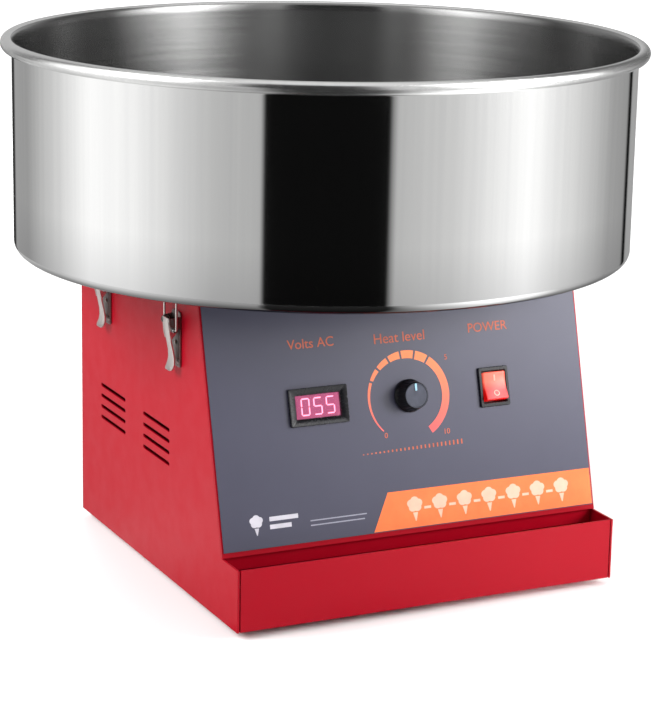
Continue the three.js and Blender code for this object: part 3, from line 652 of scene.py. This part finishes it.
def bezel_piece(name, node, x, size, window, back, profile):
    """A rectangular frame on the console; profile is (share of the way in to the window, height)."""
    bm = bmesh.new()
    place = on_console(x)
    width, height = size
    loops = []
    for share, high in profile:
        w = width + (window[0] - width) * share
        h = height + (window[1] - height) * share
        corner = 1.2 * MM * (1 - share) + 0.5 * MM * share
        loops.append([place @ Vector((a, b, high)) for a, b in rounded(w, h, corner)])
    rear_w, rear_h = width - 4 * MM, height - 3 * MM
    for high in (FILM_FACE, -back):
        loops.insert(0, [place @ Vector((a, b, high)) for a, b in rounded(rear_w, rear_h, MM)])
    loft(bm, loops)
    piece(name, bm, BEZEL, "cabinet", [node])


SEGMENTS = {  # shares of a digit's width and of half its height, and whether the segment is level
    "a": (0.0, 1.0, True), "b": (0.5, 0.5, False), "c": (0.5, -0.5, False), "d": (0.0, -1.0, True),
    "e": (-0.5, -0.5, False), "f": (-0.5, 0.5, False), "g": (0.0, 0.0, True),
}
DIGITS = {"0": "abcdef", "5": "afgcd"}


def seven_segment(text, width, height, thick, pitch):
    """Outlines of seven-segment digits about the origin."""
    shapes = []
    for i, digit in enumerate(text):
        middle = (i - (len(text) - 1) / 2) * pitch
        for key in DIGITS[digit]:
            a, b, level = SEGMENTS[key]
            half = (width / 2 if level else height / 4) - thick * 0.65
            shapes.append(hexagon(middle + a * width, b * height / 2, half, thick / 2, level))
    return shapes


def hexagon(x, y, half, thick, level):
    """One segment: a bar with pointed ends, level or upright."""
    points = [(-half - thick, 0), (-half, -thick), (half, -thick)]
    points += [(half + thick, 0), (half, thick), (-half, thick)]
    return [(x + a, y + b) if level else (x - b, y + a) for a, b in points]


def voltmeter():
    """The meter: its bezel, display, digits and clear cover."""
    low = BEZEL_FOOT
    rises = [(0, 0), (0, 2), (0.06, 2.5), (0.16, 2.5), (0.94, 0.7), (1.0, 0.5), (1.0, -0.6)]
    profile = [(share, low + rise * MM) for share, rise in rises]
    bezel_piece("meter_bezel", "voltmeter_body", METER_X, METER_BEZEL, METER_WINDOW, METER_DEPTH,
                profile)
    place = on_console(METER_X)
    face = low - 0.6 * MM
    wide, tall = METER_WINDOW
    bm = bmesh.new()
    prism(bm, rounded(wide - MM, tall - MM, 0.4 * MM), face, face + 0.35 * MM, place)
    piece("meter_display", bm, DISPLAY_PAINTED_GLOW, "cabinet")
    bm = bmesh.new()
    for outline in seven_segment("055", 6.4 * MM, 12.6 * MM, 1.05 * MM, 10.6 * MM):
        prism(bm, outline, face + 0.3 * MM, face + 0.5 * MM, place)
    piece("meter_digits", bm, DIGIT, "cabinet")
    bm = bmesh.new()
    clear = rounded(wide - 0.4 * MM, tall - 0.4 * MM, 0.4 * MM)
    prism(bm, clear, face + 0.8 * MM, face + 1.5 * MM, place)
    piece("meter_cover", bm, clear_window(), "cabinet", ["voltmeter_window"])


def rocker_switch():
    """The switch: its frame, the lit rocker and the rocker's two symbols."""
    low = BEZEL_FOOT
    profile = [(0, low), (0, low + MM), (0.14, low + 2 * MM), (0.8, low + 2 * MM),
               (1.0, low + 1.2 * MM), (1.0, -8 * MM)]
    bezel_piece("switch_frame", "switch_housing", SWITCH_X, SWITCH_FRAME, SWITCH_WELL, SWITCH_DEPTH,
                profile)
    place = on_console(SWITCH_X, ROCKER_LIFT) @ Matrix.Rotation(ROCKER_TILT, 4, "X")
    outline = [(11.2, -3), (11.2, 4.5), (10.5, 5.3), (9.2, 5.1), (5.0, 4.1), (0, 3.6),
               (-5.0, 4.1), (-9.2, 5.1), (-10.5, 5.3), (-11.2, 4.5), (-11.2, -3)]
    half = ROCKER_HALF
    bm = bmesh.new()
    loops = []
    for x, inset in ((-half, 0.7), (-half + 0.5 * MM, 0.15), (-half + 1.2 * MM, 0),
                     (half - 1.2 * MM, 0), (half - 0.5 * MM, 0.15), (half, 0.7)):
        loops.append([
            place @ Vector((x, s * (1 - inset / 14) * MM, (h - inset if h > 0 else h) * MM))
            for s, h in outline
        ])
    loft(bm, loops)
    piece("rocker_button", bm, ROCKER, "rocker", ["switch_rocker"])
    bm = bmesh.new()
    low, high = -0.3 * MM, 0.25 * MM
    slope = Matrix.Rotation(SYMBOL_SLOPE, 4, "X")
    upper = place @ Matrix.Translation((0, 6.3 * MM, 4.45 * MM)) @ slope
    prism(bm, rounded(1.1 * MM, 5 * MM, 0.5 * MM), low, high, upper)
    lower = place @ Matrix.Translation((0, -6.0 * MM, 4.35 * MM)) @ slope.inverted()
    for quad in ring_quads(2.1, 0.8):
        prism(bm, mm(quad), low, high, lower)
    bmesh.ops.remove_doubles(bm, verts=bm.verts, dist=1e-6)
    piece("rocker_symbols", bm, SYMBOL, "rocker")


def heat_knob():
    """The knob: a tapered fluted body with a flat face, and its pointer."""
    foot = FILM_FACE + 0.7 * MM
    place = on_console(KNOB_X)
    segments = 144
    profile = [(3.3, 6, 0), (8, 6, 0), (8, foot / MM, 0), (13, foot / MM, 0), (13, 3.1, 0),
               (12.5, 3.7, 0.1), (11.9, 4.6, 0.45), (10.9, 12.3, 0.45), (10.4, 13.9, 0.15),
               (9.7, 14.5, 0), (9.2, 14.6, 0), (8.9, 14.3, 0), (0, 14.1, 0)]
    bm = bmesh.new()
    loops = []
    for radius, height, depth in profile:
        loop = []
        for i in range(segments):
            t = 2 * math.pi * i / segments
            groove = depth * max(0.0, math.cos(KNOB_FLUTES * t)) ** 2
            reach = (radius - groove) * MM
            loop.append(place @ Vector((reach * math.cos(t), reach * math.sin(t), height * MM)))
        loops.append(loop)
    loft(bm, loops, caps=False)
    bmesh.ops.remove_doubles(bm, verts=bm.verts, dist=1e-7)
    obj = piece("knob_body", bm, [KNOB_BODY, KNOB_FACE], "knob",
                ["temperature_knob"])
    normal = CONSOLE.to_3x3() @ Vector((0, 0, 1))
    for face in obj.data.polygons:
        above = (face.center - place.translation).dot(normal)
        if above > KNOB_TOP and face.normal.dot(normal) > 0.8:
            face.material_index = 1
    bm = bmesh.new()
    line = rounded(1.7 * MM, 5.6 * MM, 0.5 * MM, 3, (0, 6.6 * MM))
    prism(bm, line, KNOB_TOP, KNOB_TOP + 0.85 * MM, place, 0.15 * MM)
    piece("knob_pointer", bm, POINTER, "knob")


# ---------------------------------------------------------------- bowl and spinner head


def bowl_shell():
    """The spun bowl: wall, rolled rim, floor and centre collar, in one turned skin."""
    low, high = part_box("bowl")
    rim_radius, floor, top = high.x, low.z, high.z
    outer = rim_radius - BOWL_WALL_INSET
    inner = outer - BOWL_SHEET
    bead_r, bead_z = rim_radius - BOWL_BEAD, top - BOWL_BEAD
    hole, collar_top = BOWL_HOLE, floor + BOWL_COLLAR
    bend_r = outer - BOWL_CORNER
    outside = [
        (hole, floor),
        (bend_r - 12 * MM, floor),
        *arc(bend_r, floor + BOWL_CORNER, BOWL_CORNER, -90, 0, 10),
        (outer, floor + BOWL_CORNER + MM),
        (outer, bead_z - 6.4 * MM),
        (outer, bead_z - 5.4 * MM),
        (outer + 0.5 * MM, bead_z - 4.3 * MM),
        *arc(bead_r, bead_z, BOWL_BEAD, -125, 165, 26),
    ]
    inside = [
        (inner, bead_z - 2.6 * MM),
        (inner, bead_z - 3.6 * MM),
        (inner, floor + BOWL_CORNER + MM),
        *arc(bend_r, floor + BOWL_CORNER, BOWL_CORNER - BOWL_SHEET, 0, -90, 10),
        (inner * 0.62, floor + BOWL_SHEET),
        (hole + 6 * MM, floor + BOWL_SHEET),
        *arc(hole + 4 * MM, floor + 4 * MM, 4 * MM - BOWL_SHEET, 270, 180, 5),
        (hole + BOWL_SHEET, collar_top - 0.6 * MM),
        (hole + BOWL_SHEET / 2, collar_top),
        (hole, collar_top - 0.6 * MM),
    ]
    bm = bmesh.new()
    lathe(bm, outside + inside, 256, wrap=True)
    finishes = [BOWL_OUTSIDE, BOWL_INSIDE_PAINTED_SHADE, BOWL_RIM]
    obj = piece("bowl_shell", bm, finishes, "cabinet", ["bowl"])
    # The outside is polished, the inside brushed round and darkened with painted shade, and the rim
    # satin.
    for face in obj.data.polygons:
        out = Vector((face.center.x, face.center.y, 0)).normalized()
        reach = math.hypot(face.center.x, face.center.y)
        inward = face.normal.dot(out) < -0.3 and reach < bead_r - BOWL_BEAD * 0.7
        upward = face.normal.z > 0.3 and face.center.z < top - 0.05
        if inward or upward:
            face.material_index = 1
        elif face.center.z > bead_z - 4.5 * MM:
            face.material_index = 2


def around_posts(height=0.0):
    """A placing matrix at each of the spinner's four posts."""
    turns = [math.radians(degrees) for degrees in POST_DEGREES]
    return [
        Matrix.Translation((POST_RADIUS * math.cos(t), POST_RADIUS * math.sin(t), height))
        for t in turns
    ]


def head_floor(top):
    """The spinner's cast floor."""
    bm = bmesh.new()
    profile = [(5.3, -11), (13.6, -11), (14, -10.5), (15.6, -1.2), (17, 0), (64.6, 0), (65.4, 0.3),
               (66, 1), (66, 2.2), (65.4, 3), (62, 3), (61.6, 2.6), (52, 2.6), (51.6, 3), (5.3, 3)]
    base = top - 3 * MM
    lathe(bm, [(r * MM, base + z * MM) for r, z in profile], 128, wrap=True)
    piece("head_floor", bm, ALUMINIUM, "spinner", ["head_base"])


def head_lid(floor):
    """The spinner's lid with its funnel, on four posts with screws."""
    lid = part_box("head_cap")[1].z - LID_RISE
    bm = bmesh.new()
    profile = [(63, 0), (65.4, 0), (66, 0.5), (66, 1.6), (65.5, 2.2), (60, 2.9), (59.4, 2.7),
               (58.8, 3.0), (36, 5.6), (31, 7.6), (27.4, 11.4), (26.6, 12), (25.4, 12), (25, 11.5),
               (25, 10.6), (29, 6.6), (34.5, 3.4), (60, 0.8)]
    lathe(bm, [(r * MM, lid + z * MM) for r, z in profile], 128, wrap=True)
    radius, low, high = 2.5 * MM, floor + 0.3 * MM, lid + 3 * MM
    for at in around_posts():
        lathe(bm, [(0, low), (radius, low), (radius, high), (0, high)], 20, at)
    piece("head_lid", bm, ALUMINIUM, "spinner", ["head_cap"])
    bm = bmesh.new()
    for at in around_posts(lid + 4.2 * MM):
        pan_screw(bm, at, 3.4 * MM, 2 * MM)
    piece("head_screws", bm, ZINC, "spinner")


def slotted_band():
    """The band that the sugar flies out of, with its upright slots."""
    low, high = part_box("head_band")
    rows = [low.z, low.z + BAND_MARGIN, high.z - BAND_MARGIN, high.z]
    columns = 6
    step = 2 * math.pi / BAND_SLOTS
    slot_half = math.radians(1.0)
    solid = step - 2 * slot_half
    angles = []
    for i in range(BAND_SLOTS):
        centre = step * (i + 0.5)
        angles.append((centre - slot_half, True))
        angles += [(centre + slot_half + solid * k / columns, False) for k in range(columns)]
    bm = bmesh.new()
    reach = high.x
    grid = [[bm.verts.new((reach * math.cos(t), reach * math.sin(t), z)) for z in rows]
            for t, _ in angles]
    for i, (_, slot) in enumerate(angles):
        after = grid[(i + 1) % len(grid)]
        for k in range(3):
            if slot and k == 1:
                continue
            bm.faces.new((grid[i][k], after[k], after[k + 1], grid[i][k + 1]))
    band = piece("slotted_band", bm, BAND_STEEL, "spinner", ["head_band"])
    band.modifiers.new("sheet", "SOLIDIFY").thickness = BAND_SHEET


def heater_ribbon():
    """The heater: a ribbon that runs up and down all the way round, inside the band."""
    low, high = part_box("head_heater")
    steps = 8 * HEATER_WAVES
    middle = (low.z + high.z) / 2
    swing = (high.z - low.z) / 2 - 1.5 * MM
    reach = high.x - 1.2 * MM
    bm = bmesh.new()
    loops = []
    for i in range(steps):
        t = 2 * math.pi * i / steps
        rise = math.sin(HEATER_WAVES * t)
        z = middle + swing * max(-1, min(1, 1.6 * rise))
        loops.append([
            Vector(((reach + a) * math.cos(t), (reach + a) * math.sin(t), z + b))
            for a, b in ((-0.3 * MM, -MM), (0.3 * MM, -MM), (0.3 * MM, MM), (-0.3 * MM, MM))
        ])
    loft(bm, loops, wrap=True)
    piece("heater_ribbon", bm, RIBBON, "spinner", ["head_heater"])


def spinner_head():
    """The spinner: floor, lid with its posts and screws, slotted band and heater."""
    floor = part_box("head_base")[1].z
    head_floor(floor)
    head_lid(floor)
    slotted_band()
    heater_ribbon()


# ---------------------------------------------------------------- latches


def upright_at(place, u, v, z):
    """A frame that stands on the side panel at a latch point and faces out."""
    return place @ frame_at((u, v, z), (0, 1, 0), (0, 0, 1))


def across_at(place, u, v, z):
    """A frame whose local Z runs across the latch, against v."""
    return place @ frame_at((u, v, z), (1, 0, 0), (0, 0, 1))


def latch_frame(side, tag):
    """The latch's own frame: u out of the side panel, v across, z up from the ground."""
    low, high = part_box(f"latch_base_{tag}")
    sign = -1 if side == "left" else 1
    face = high.x if side == "left" else low.x
    return frame_at((face - sign * 0.3 * MM, (low.y + high.y) / 2, 0), (sign, 0, 0), (0, sign, 0))


def latch_base(tag, place):
    """The riveted back plate with its two ears, pin and rivets."""
    bm = bmesh.new()
    plate = rounded(*LATCH_PLATE, 3 * MM, 5, (0, LATCH_PLATE_Z))
    prism(bm, plate, 0, 1.2 * MM, upright_at(place, 0.3 * MM, 0, 0), 0.3 * MM)
    u, z = (value / MM for value in LATCH_PIVOT)
    ear = [(1.3, z - 4.6), *arc(u, z, 3.5, -80, 80, 10), (1.3, z + 4.6)]
    for sign in (-1, 1):
        low, high = sorted((0, 1.2 * MM * sign))
        prism(bm, mm(ear), low, high, across_at(place, 0, sign * EAR_OUT, 0))
    pin = across_at(place, LATCH_PIVOT[0], 0, LATCH_PIVOT[1])
    ends = [(0, -9.1), (1.6, -9.1), (2.2, -8.9), (2.2, -8.4), (1.5, -8.4), (1.5, 8.4), (2.2, 8.4),
            (2.2, 8.9), (1.6, 9.1), (0, 9.1)]
    lathe(bm, mm(ends), 20, pin)
    piece(f"latch_plate_{tag}", bm, PAINTED_SHADE_PLATE_NICKEL, "cabinet", [f"latch_base_{tag}"])
    bm = bmesh.new()
    for v, z in ((-4.6, 189), (4.6, 189), (0, 203)):
        dome(bm, upright_at(place, 1.4 * MM, v * MM, z * MM), 2.1 * MM, 1.2 * MM)
    piece(f"latch_rivets_{tag}", bm, ZINC, "cabinet")


LEVER_SPINE = [  # u, z, half width, crown
    (10.0, 223.2, 4.6, 0.2), (10.1, 219, 5.2, 0.4), (9.2, 212, 4.8, 0.5), (7.6, 204, 4.6, 0.6),
    (6.1, 197, 4.9, 0.6), (5.4, 191, 5.8, 0.6), (5.8, 187, 6.7, 0.5), (6.9, 184, 7.0, 0.4),
    (7.9, 182.3, 6.2, 0.3), (8.5, 181.6, 4.4, 0.2),
]


def latch_lever(tag, place):
    """The pressed lever: a curved web that widens to a finger tip, and two cheeks."""
    bm = bmesh.new()
    loops = []
    across = 8
    for u, z, half, crown in LEVER_SPINE:
        shares = [-1 + 2 * i / across for i in range(across + 1)]
        front = [(u + crown * (1 - a * a), a * half) for a in shares]
        back = [(u - SHEET, v) for u, v in front[::-1]]
        loops.append([place @ Vector(p) for p in mm((u, v, z) for u, v in front + back)])
    loft(bm, loops)
    cheek = [(4.3, 222.2), (5.2, 223), (10.0, 223), (9.4, 212), (8.0, 206), (4.3, 210.6)]
    for sign in (-1, 1):
        half = SHEET / 2 * MM
        prism(bm, mm(cheek), -half, half, across_at(place, 0, sign * CHEEK_OUT, 0))
    piece(f"latch_handle_{tag}", bm, PINK_REFLECTION_NICKEL, f"lever_{tag}", [f"latch_lever_{tag}"])


def latch_bail(tag, place):
    """The wire bail with its curled ends, and the coil spring on each leg."""
    u, low = (value / MM for value in BAIL_PIVOT)
    top, half, bend = BAIL_LOOP
    leg = [(5.6, low), (half - bend, low), *arc(half - bend, low + bend, bend, -90, 0, 6)[1:]]
    leg += [(half, 222), (half, 233), *arc(half - bend, top - bend, bend, 0, 90, 6)]
    path = leg + [(-v, z) for v, z in leg[::-1]]
    bm = bmesh.new()
    tube(bm, [place @ Vector(p) for p in mm((u, v, z) for v, z in path)], BAIL_WIRE, 14)
    body = f"bail_{tag}"
    piece(f"latch_wire_{tag}", bm, PINK_REFLECTION_NICKEL, body, [f"latch_bail_{tag}"])
    bm = bmesh.new()
    turns, per_turn = 5, 14
    for sign in (-1, 1):
        helix = []
        for i in range(turns * per_turn + 1):
            t = 2 * math.pi * i / per_turn
            along = 6.6 + 3.4 * i / (turns * per_turn)
            helix.append((u + 1.55 * math.cos(t), sign * along, low + 1.55 * math.sin(t)))
        tube(bm, [place @ Vector(p) for p in mm(helix)], 0.32 * MM, 6)
    piece(f"latch_springs_{tag}", bm, SHAFT, body)


def bowl_catch(tag, place):
    """The hook under the bowl that holds the bail down."""
    bm = bmesh.new()
    top = CATCH_TOP
    centre_line = [(-12, top - 0.6), (2.2, top - 0.6), (3.3, top - 1.1), (3.6, top - 2.2),
                   (3.6, 241.8), (4.0, 240.9), (4.9, 240.6), (7.8, 240.6), (8.6, 240.9),
                   (8.9, 241.7), (8.9, 243.2)]
    loops = []
    for i, (u, z) in enumerate(centre_line):
        before = Vector(centre_line[max(0, i - 1)])
        after = Vector(centre_line[min(len(centre_line) - 1, i + 1)])
        along = (after - before).normalized()
        side_way = Vector((-along.y, along.x)) * SHEET / 2
        half = 9 if i < 4 else 8.6
        u0, z0, u1, z1 = u + side_way.x, z + side_way.y, u - side_way.x, z - side_way.y
        corners = [(u0, -half, z0), (u0, half, z0), (u1, half, z1), (u1, -half, z1)]
        loops.append([place @ Vector(p) for p in mm(corners)])
    loft(bm, loops)
    piece(f"catch_hook_{tag}", bm, BAND_STEEL, "cabinet", [f"bowl_catch_{tag}"])
    bm = bmesh.new()
    for v in (-5, 5):
        rivet = Matrix.Translation((-6 * MM, v * MM, (CATCH_TOP + 1.5) * MM))
        dome(bm, place @ rivet, 3 * MM, 1.3 * MM)
    piece(f"catch_rivets_{tag}", bm, BAND_STEEL, "cabinet")


def latches():
    """All four draw latches with their hooks under the bowl."""
    for side in ("left", "right"):
        for end in ("front", "rear"):
            tag = f"{end}_{side}"
            place = latch_frame(side, tag)
            latch_base(tag, place)
            latch_lever(tag, place)
            latch_bail(tag, place)
            bowl_catch(tag, place)


# ---------------------------------------------------------------- cabinet details


def feet():
    """The four turned rubber feet."""
    for name in ("front_left", "front_right", "rear_left", "rear_right"):
        low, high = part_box(f"foot_{name}")
        place = Matrix.Translation(((low.x + high.x) / 2, (low.y + high.y) / 2, 0))
        bm = bmesh.new()
        profile = [(0, 0.8), (4, 0.8), (4.4, 0.3), (4.8, 0), (10, 0), (11, 0.4), (11.8, 1.2), (12, 2),
                   (11.2, 5.3), (10.8, 5.7), (3.2, 5.7), (3.2, 7.2), (0, 7.2)]
        lathe(bm, mm(profile), 48, place)
        piece(f"rubber_foot_{name}", bm, RUBBER, "cabinet", [f"foot_{name}"])


def gland():
    """The cord's stepped rubber gland in the rear panel."""
    low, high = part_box("cord_gland")
    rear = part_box("rear_panel")[1].y
    centre = ((low.x + high.x) / 2, rear, (low.z + high.z) / 2)
    place = frame_at(centre, (-1, 0, 0), (0, 0, 1))
    bm = bmesh.new()
    profile = [(3.5, -8.5), (8, -8.5), (8, 0.3), (11, 0.3), (11, 4.4), (10.4, 5), (9, 5.4), (9, 6.4),
               (8.4, 7), (8.4, 8), (7.8, 8.6), (7.8, 9.6), (7.2, 10.2), (7.2, 11.2), (6.6, 12),
               (6.2, 13.4), (5.6, 14), (3.9, 14), (3.5, 13.4)]
    lathe(bm, mm(profile), 48, place, wrap=True)
    piece("gland_body", bm, BLACK, "cabinet", ["cord_gland"])


def fasteners():
    """Screws on the rear panel and the underside."""
    low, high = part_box("rear_panel")
    bm = bmesh.new()
    for x in (low.x + 9 * MM, 0, high.x - 9 * MM):
        for z in (low.z + 9 * MM, high.z - 10 * MM):
            pan_screw(bm, frame_at((x, high.y, z), (-1, 0, 0), (0, 0, 1)), 3.4 * MM, 1.9 * MM)
    piece("rear_screws", bm, ZINC, "cabinet")
    low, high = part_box("base_plate")
    bm = bmesh.new()
    for x in (low.x + 10 * MM, high.x - 10 * MM):
        for y in (low.y + 12 * MM, (low.y + high.y) / 2, high.y - 12 * MM):
            pan_screw(bm, frame_at((x, y, low.z), (1, 0, 0), (0, -1, 0)), 3.2 * MM, 1.8 * MM)
    piece("base_screws", bm, ZINC, "cabinet")


def dress_frame():
    """Gives each CAD node that stays its own finish."""
    finishes = {
        RED: ["side_panel_left", "side_panel_right", "rear_panel", "front_panel", "top_deck",
              "base_plate", "drawer_shelf", "drawer_tray"],
        FILM: ["panel_overlay"],
        ZINC: ["potentiometer", "potentiometer_nut", "potentiometer_shaft", "motor_bracket",
               "head_nut"],
        BOARD: ["control_board"],
        ALUMINIUM: ["triac_heat_sink", "motor_end_cap"],
        MOTOR_ENAMEL: ["motor_can"],
        SHAFT: ["motor_shaft"],
        BLACK: ["cooling_fan", "slip_ring_hub"],
        BRASS: ["slip_ring_lower", "slip_ring_upper", "brush_terminal_lower",
                "brush_terminal_upper"],
        PHENOLIC: ["brush_holder"],
        CARBON: ["carbon_brush_lower", "carbon_brush_upper"],
        SILICONE: ["bowl_gasket"],
    }
    for material, names in finishes.items():
        for name in names:
            slots = NODES[name].data.materials
            slots.clear()
            slots.append(material)


# ---------------------------------------------------------------- stage


def glow(name, stops):
    """Light that varies with the compass angle: stops are (degrees from -Y towards +X, level)."""
    material = bpy.data.materials.new(name)
    material.use_nodes = True
    tree = material.node_tree
    tree.nodes.clear()
    source = tree.nodes.new("ShaderNodeTexCoord")
    split = tree.nodes.new("ShaderNodeSeparateXYZ")
    flip = tree.nodes.new("ShaderNodeMath")
    flip.operation = "MULTIPLY"
    flip.inputs[1].default_value = -1
    angle = tree.nodes.new("ShaderNodeMath")
    angle.operation = "ARCTAN2"
    share = tree.nodes.new("ShaderNodeMapRange")
    share.inputs["From Min"].default_value = -math.pi
    share.inputs["From Max"].default_value = math.pi
    ramp = tree.nodes.new("ShaderNodeValToRGB")
    light = tree.nodes.new("ShaderNodeEmission")
    out = tree.nodes.new("ShaderNodeOutputMaterial")
    elements = ramp.color_ramp.elements
    while len(elements) < len(stops):
        elements.new(0.5)
    for element, (degrees, level) in zip(elements, stops):
        element.position = (degrees + 180) / 360
        element.color = (level, level, level, 1)
    links = [
        (source.outputs["Object"], split.inputs[0]),
        (split.outputs["Y"], flip.inputs[0]),
        (split.outputs["X"], angle.inputs[0]),
        (flip.outputs[0], angle.inputs[1]),
        (angle.outputs[0], share.inputs["Value"]),
        (share.outputs["Result"], ramp.inputs["Fac"]),
        (ramp.outputs["Color"], light.inputs["Color"]),
        (light.outputs["Emission"], out.inputs["Surface"]),
    ]
    for output, target in links:
        tree.links.new(output, target)
    return material


def glossy_card(name, section, material):
    """A card of (radius, height) points turned about Z, which only the shiny surfaces see."""
    bm = bmesh.new()
    steps = [2 * math.pi * i / 180 for i in range(180)]
    loops = [[(radius * math.cos(t), radius * math.sin(t), z) for t in steps]
             for radius, z in section]
    loft(bm, loops, caps=False)
    card = mesh_object(name, bm, [material])
    card.visible_camera = False
    card.visible_diffuse = False
    card.visible_shadow = False
    card.visible_transmission = False


def floor():
    """A white floor that glows far from the machine, where it is the background."""
    finish = Finish("studio_floor", (0.93, 0.93, 0.93), 0.7, Specular_IOR_Level=0.2)
    finish.mottle(3, 2, (0.3, 0.7), (0.92, 0.92, 0.92))
    source = finish.node("ShaderNodeTexCoord")
    away = finish.node("ShaderNodeVectorMath", operation="LENGTH")
    finish.link(source.outputs["Object"], away.inputs[0])
    glowing = finish.remap(away.outputs["Value"], *FLOOR_GLOW)
    finish.set("Emission Color", (1, 1, 1, 1))
    finish.link(glowing, finish.shader.inputs["Emission Strength"])
    bm = bmesh.new()
    reach = FLOOR_REACH
    corners = [(-reach, -reach), (reach, -reach), (reach, reach), (-reach, reach)]
    bm.faces.new([bm.verts.new((x, y, 0)) for x, y in corners])
    plane = mesh_object("floor", bm, [finish.material])


def softbox(name, at, aim, size, power):
    """A rectangular lamp that the camera and the reflections don't show."""
    data = bpy.data.lights.new(name, "AREA")
    data.shape = "RECTANGLE"
    data.size, data.size_y = size
    data.energy = power
    lamp = bpy.data.objects.new(name, data)
    lamp.location = at
    lamp.visible_glossy = False
    lamp.visible_camera = False
    lamp.rotation_euler = (Vector(aim) - Vector(at)).to_track_quat("-Z", "Y").to_euler()
    bpy.context.scene.collection.objects.link(lamp)


def sky():
    """Soft light from all round, brighter overhead."""
    world = bpy.data.worlds.new("studio")
    world.use_nodes = True
    tree = world.node_tree
    backdrop = tree.nodes["Background"]
    backdrop.inputs["Color"].default_value = (1, 1, 1, 1)
    source = tree.nodes.new("ShaderNodeTexCoord")
    split = tree.nodes.new("ShaderNodeSeparateXYZ")
    rise = tree.nodes.new("ShaderNodeMapRange")
    rise.inputs["To Min"].default_value = SKY[0]
    rise.inputs["To Max"].default_value = SKY[1]
    tree.links.new(source.outputs["Generated"], split.inputs[0])
    tree.links.new(split.outputs["Z"], rise.inputs["Value"])
    tree.links.new(rise.outputs["Result"], backdrop.inputs["Strength"])
    bpy.context.scene.world = world


def studio():
    """The sky, the floor, the cards that only the reflections show, and the softboxes."""
    sky()
    floor()
    low_ring = [(RING_RADIUS, RING_FOOT), (RING_RADIUS, RING_SPLIT)]
    glossy_card("low_cards", low_ring, glow("low_glow", LOW_CARDS))
    high_ring = [(RING_RADIUS, RING_SPLIT), (RING_RADIUS, RING_TOP)]
    glossy_card("high_cards", high_ring, glow("high_glow", HIGH_CARDS))
    flat_ring = [(radius, FLOOR_CARD_HEIGHT) for radius in FLOOR_CARD]
    glossy_card("floor_card", flat_ring, glow("floor_glow", FLOOR_CARDS))
    for values in SOFTBOXES:
        softbox(*values)
    bpy.context.scene.view_settings.view_transform = "Standard"


def camera():
    """The camera, set by its place, yaw, pitch and roll."""
    data = bpy.data.cameras.new("camera")
    data.sensor_width = 36
    data.lens = CAMERA_LENS
    data.clip_end = 300
    holder = bpy.data.objects.new("camera", data)
    flat = math.cos(CAMERA_PITCH)
    forward = Vector((math.sin(CAMERA_YAW) * flat, math.cos(CAMERA_YAW) * flat,
                      -math.sin(CAMERA_PITCH)))
    level = Vector((math.cos(CAMERA_YAW), -math.sin(CAMERA_YAW), 0))
    up = level.cross(forward)
    right = math.cos(CAMERA_ROLL) * level + math.sin(CAMERA_ROLL) * up
    holder.matrix_world = frame_at(CAMERA_AT, right, right.cross(forward))
    bpy.context.scene.collection.objects.link(holder)
    bpy.context.scene.camera = holder


camera()
studio()
dress_frame()
console_print()
voltmeter()
rocker_switch()
heat_knob()
bowl_shell()
spinner_head()
latches()
feet()
gland()
fasteners()
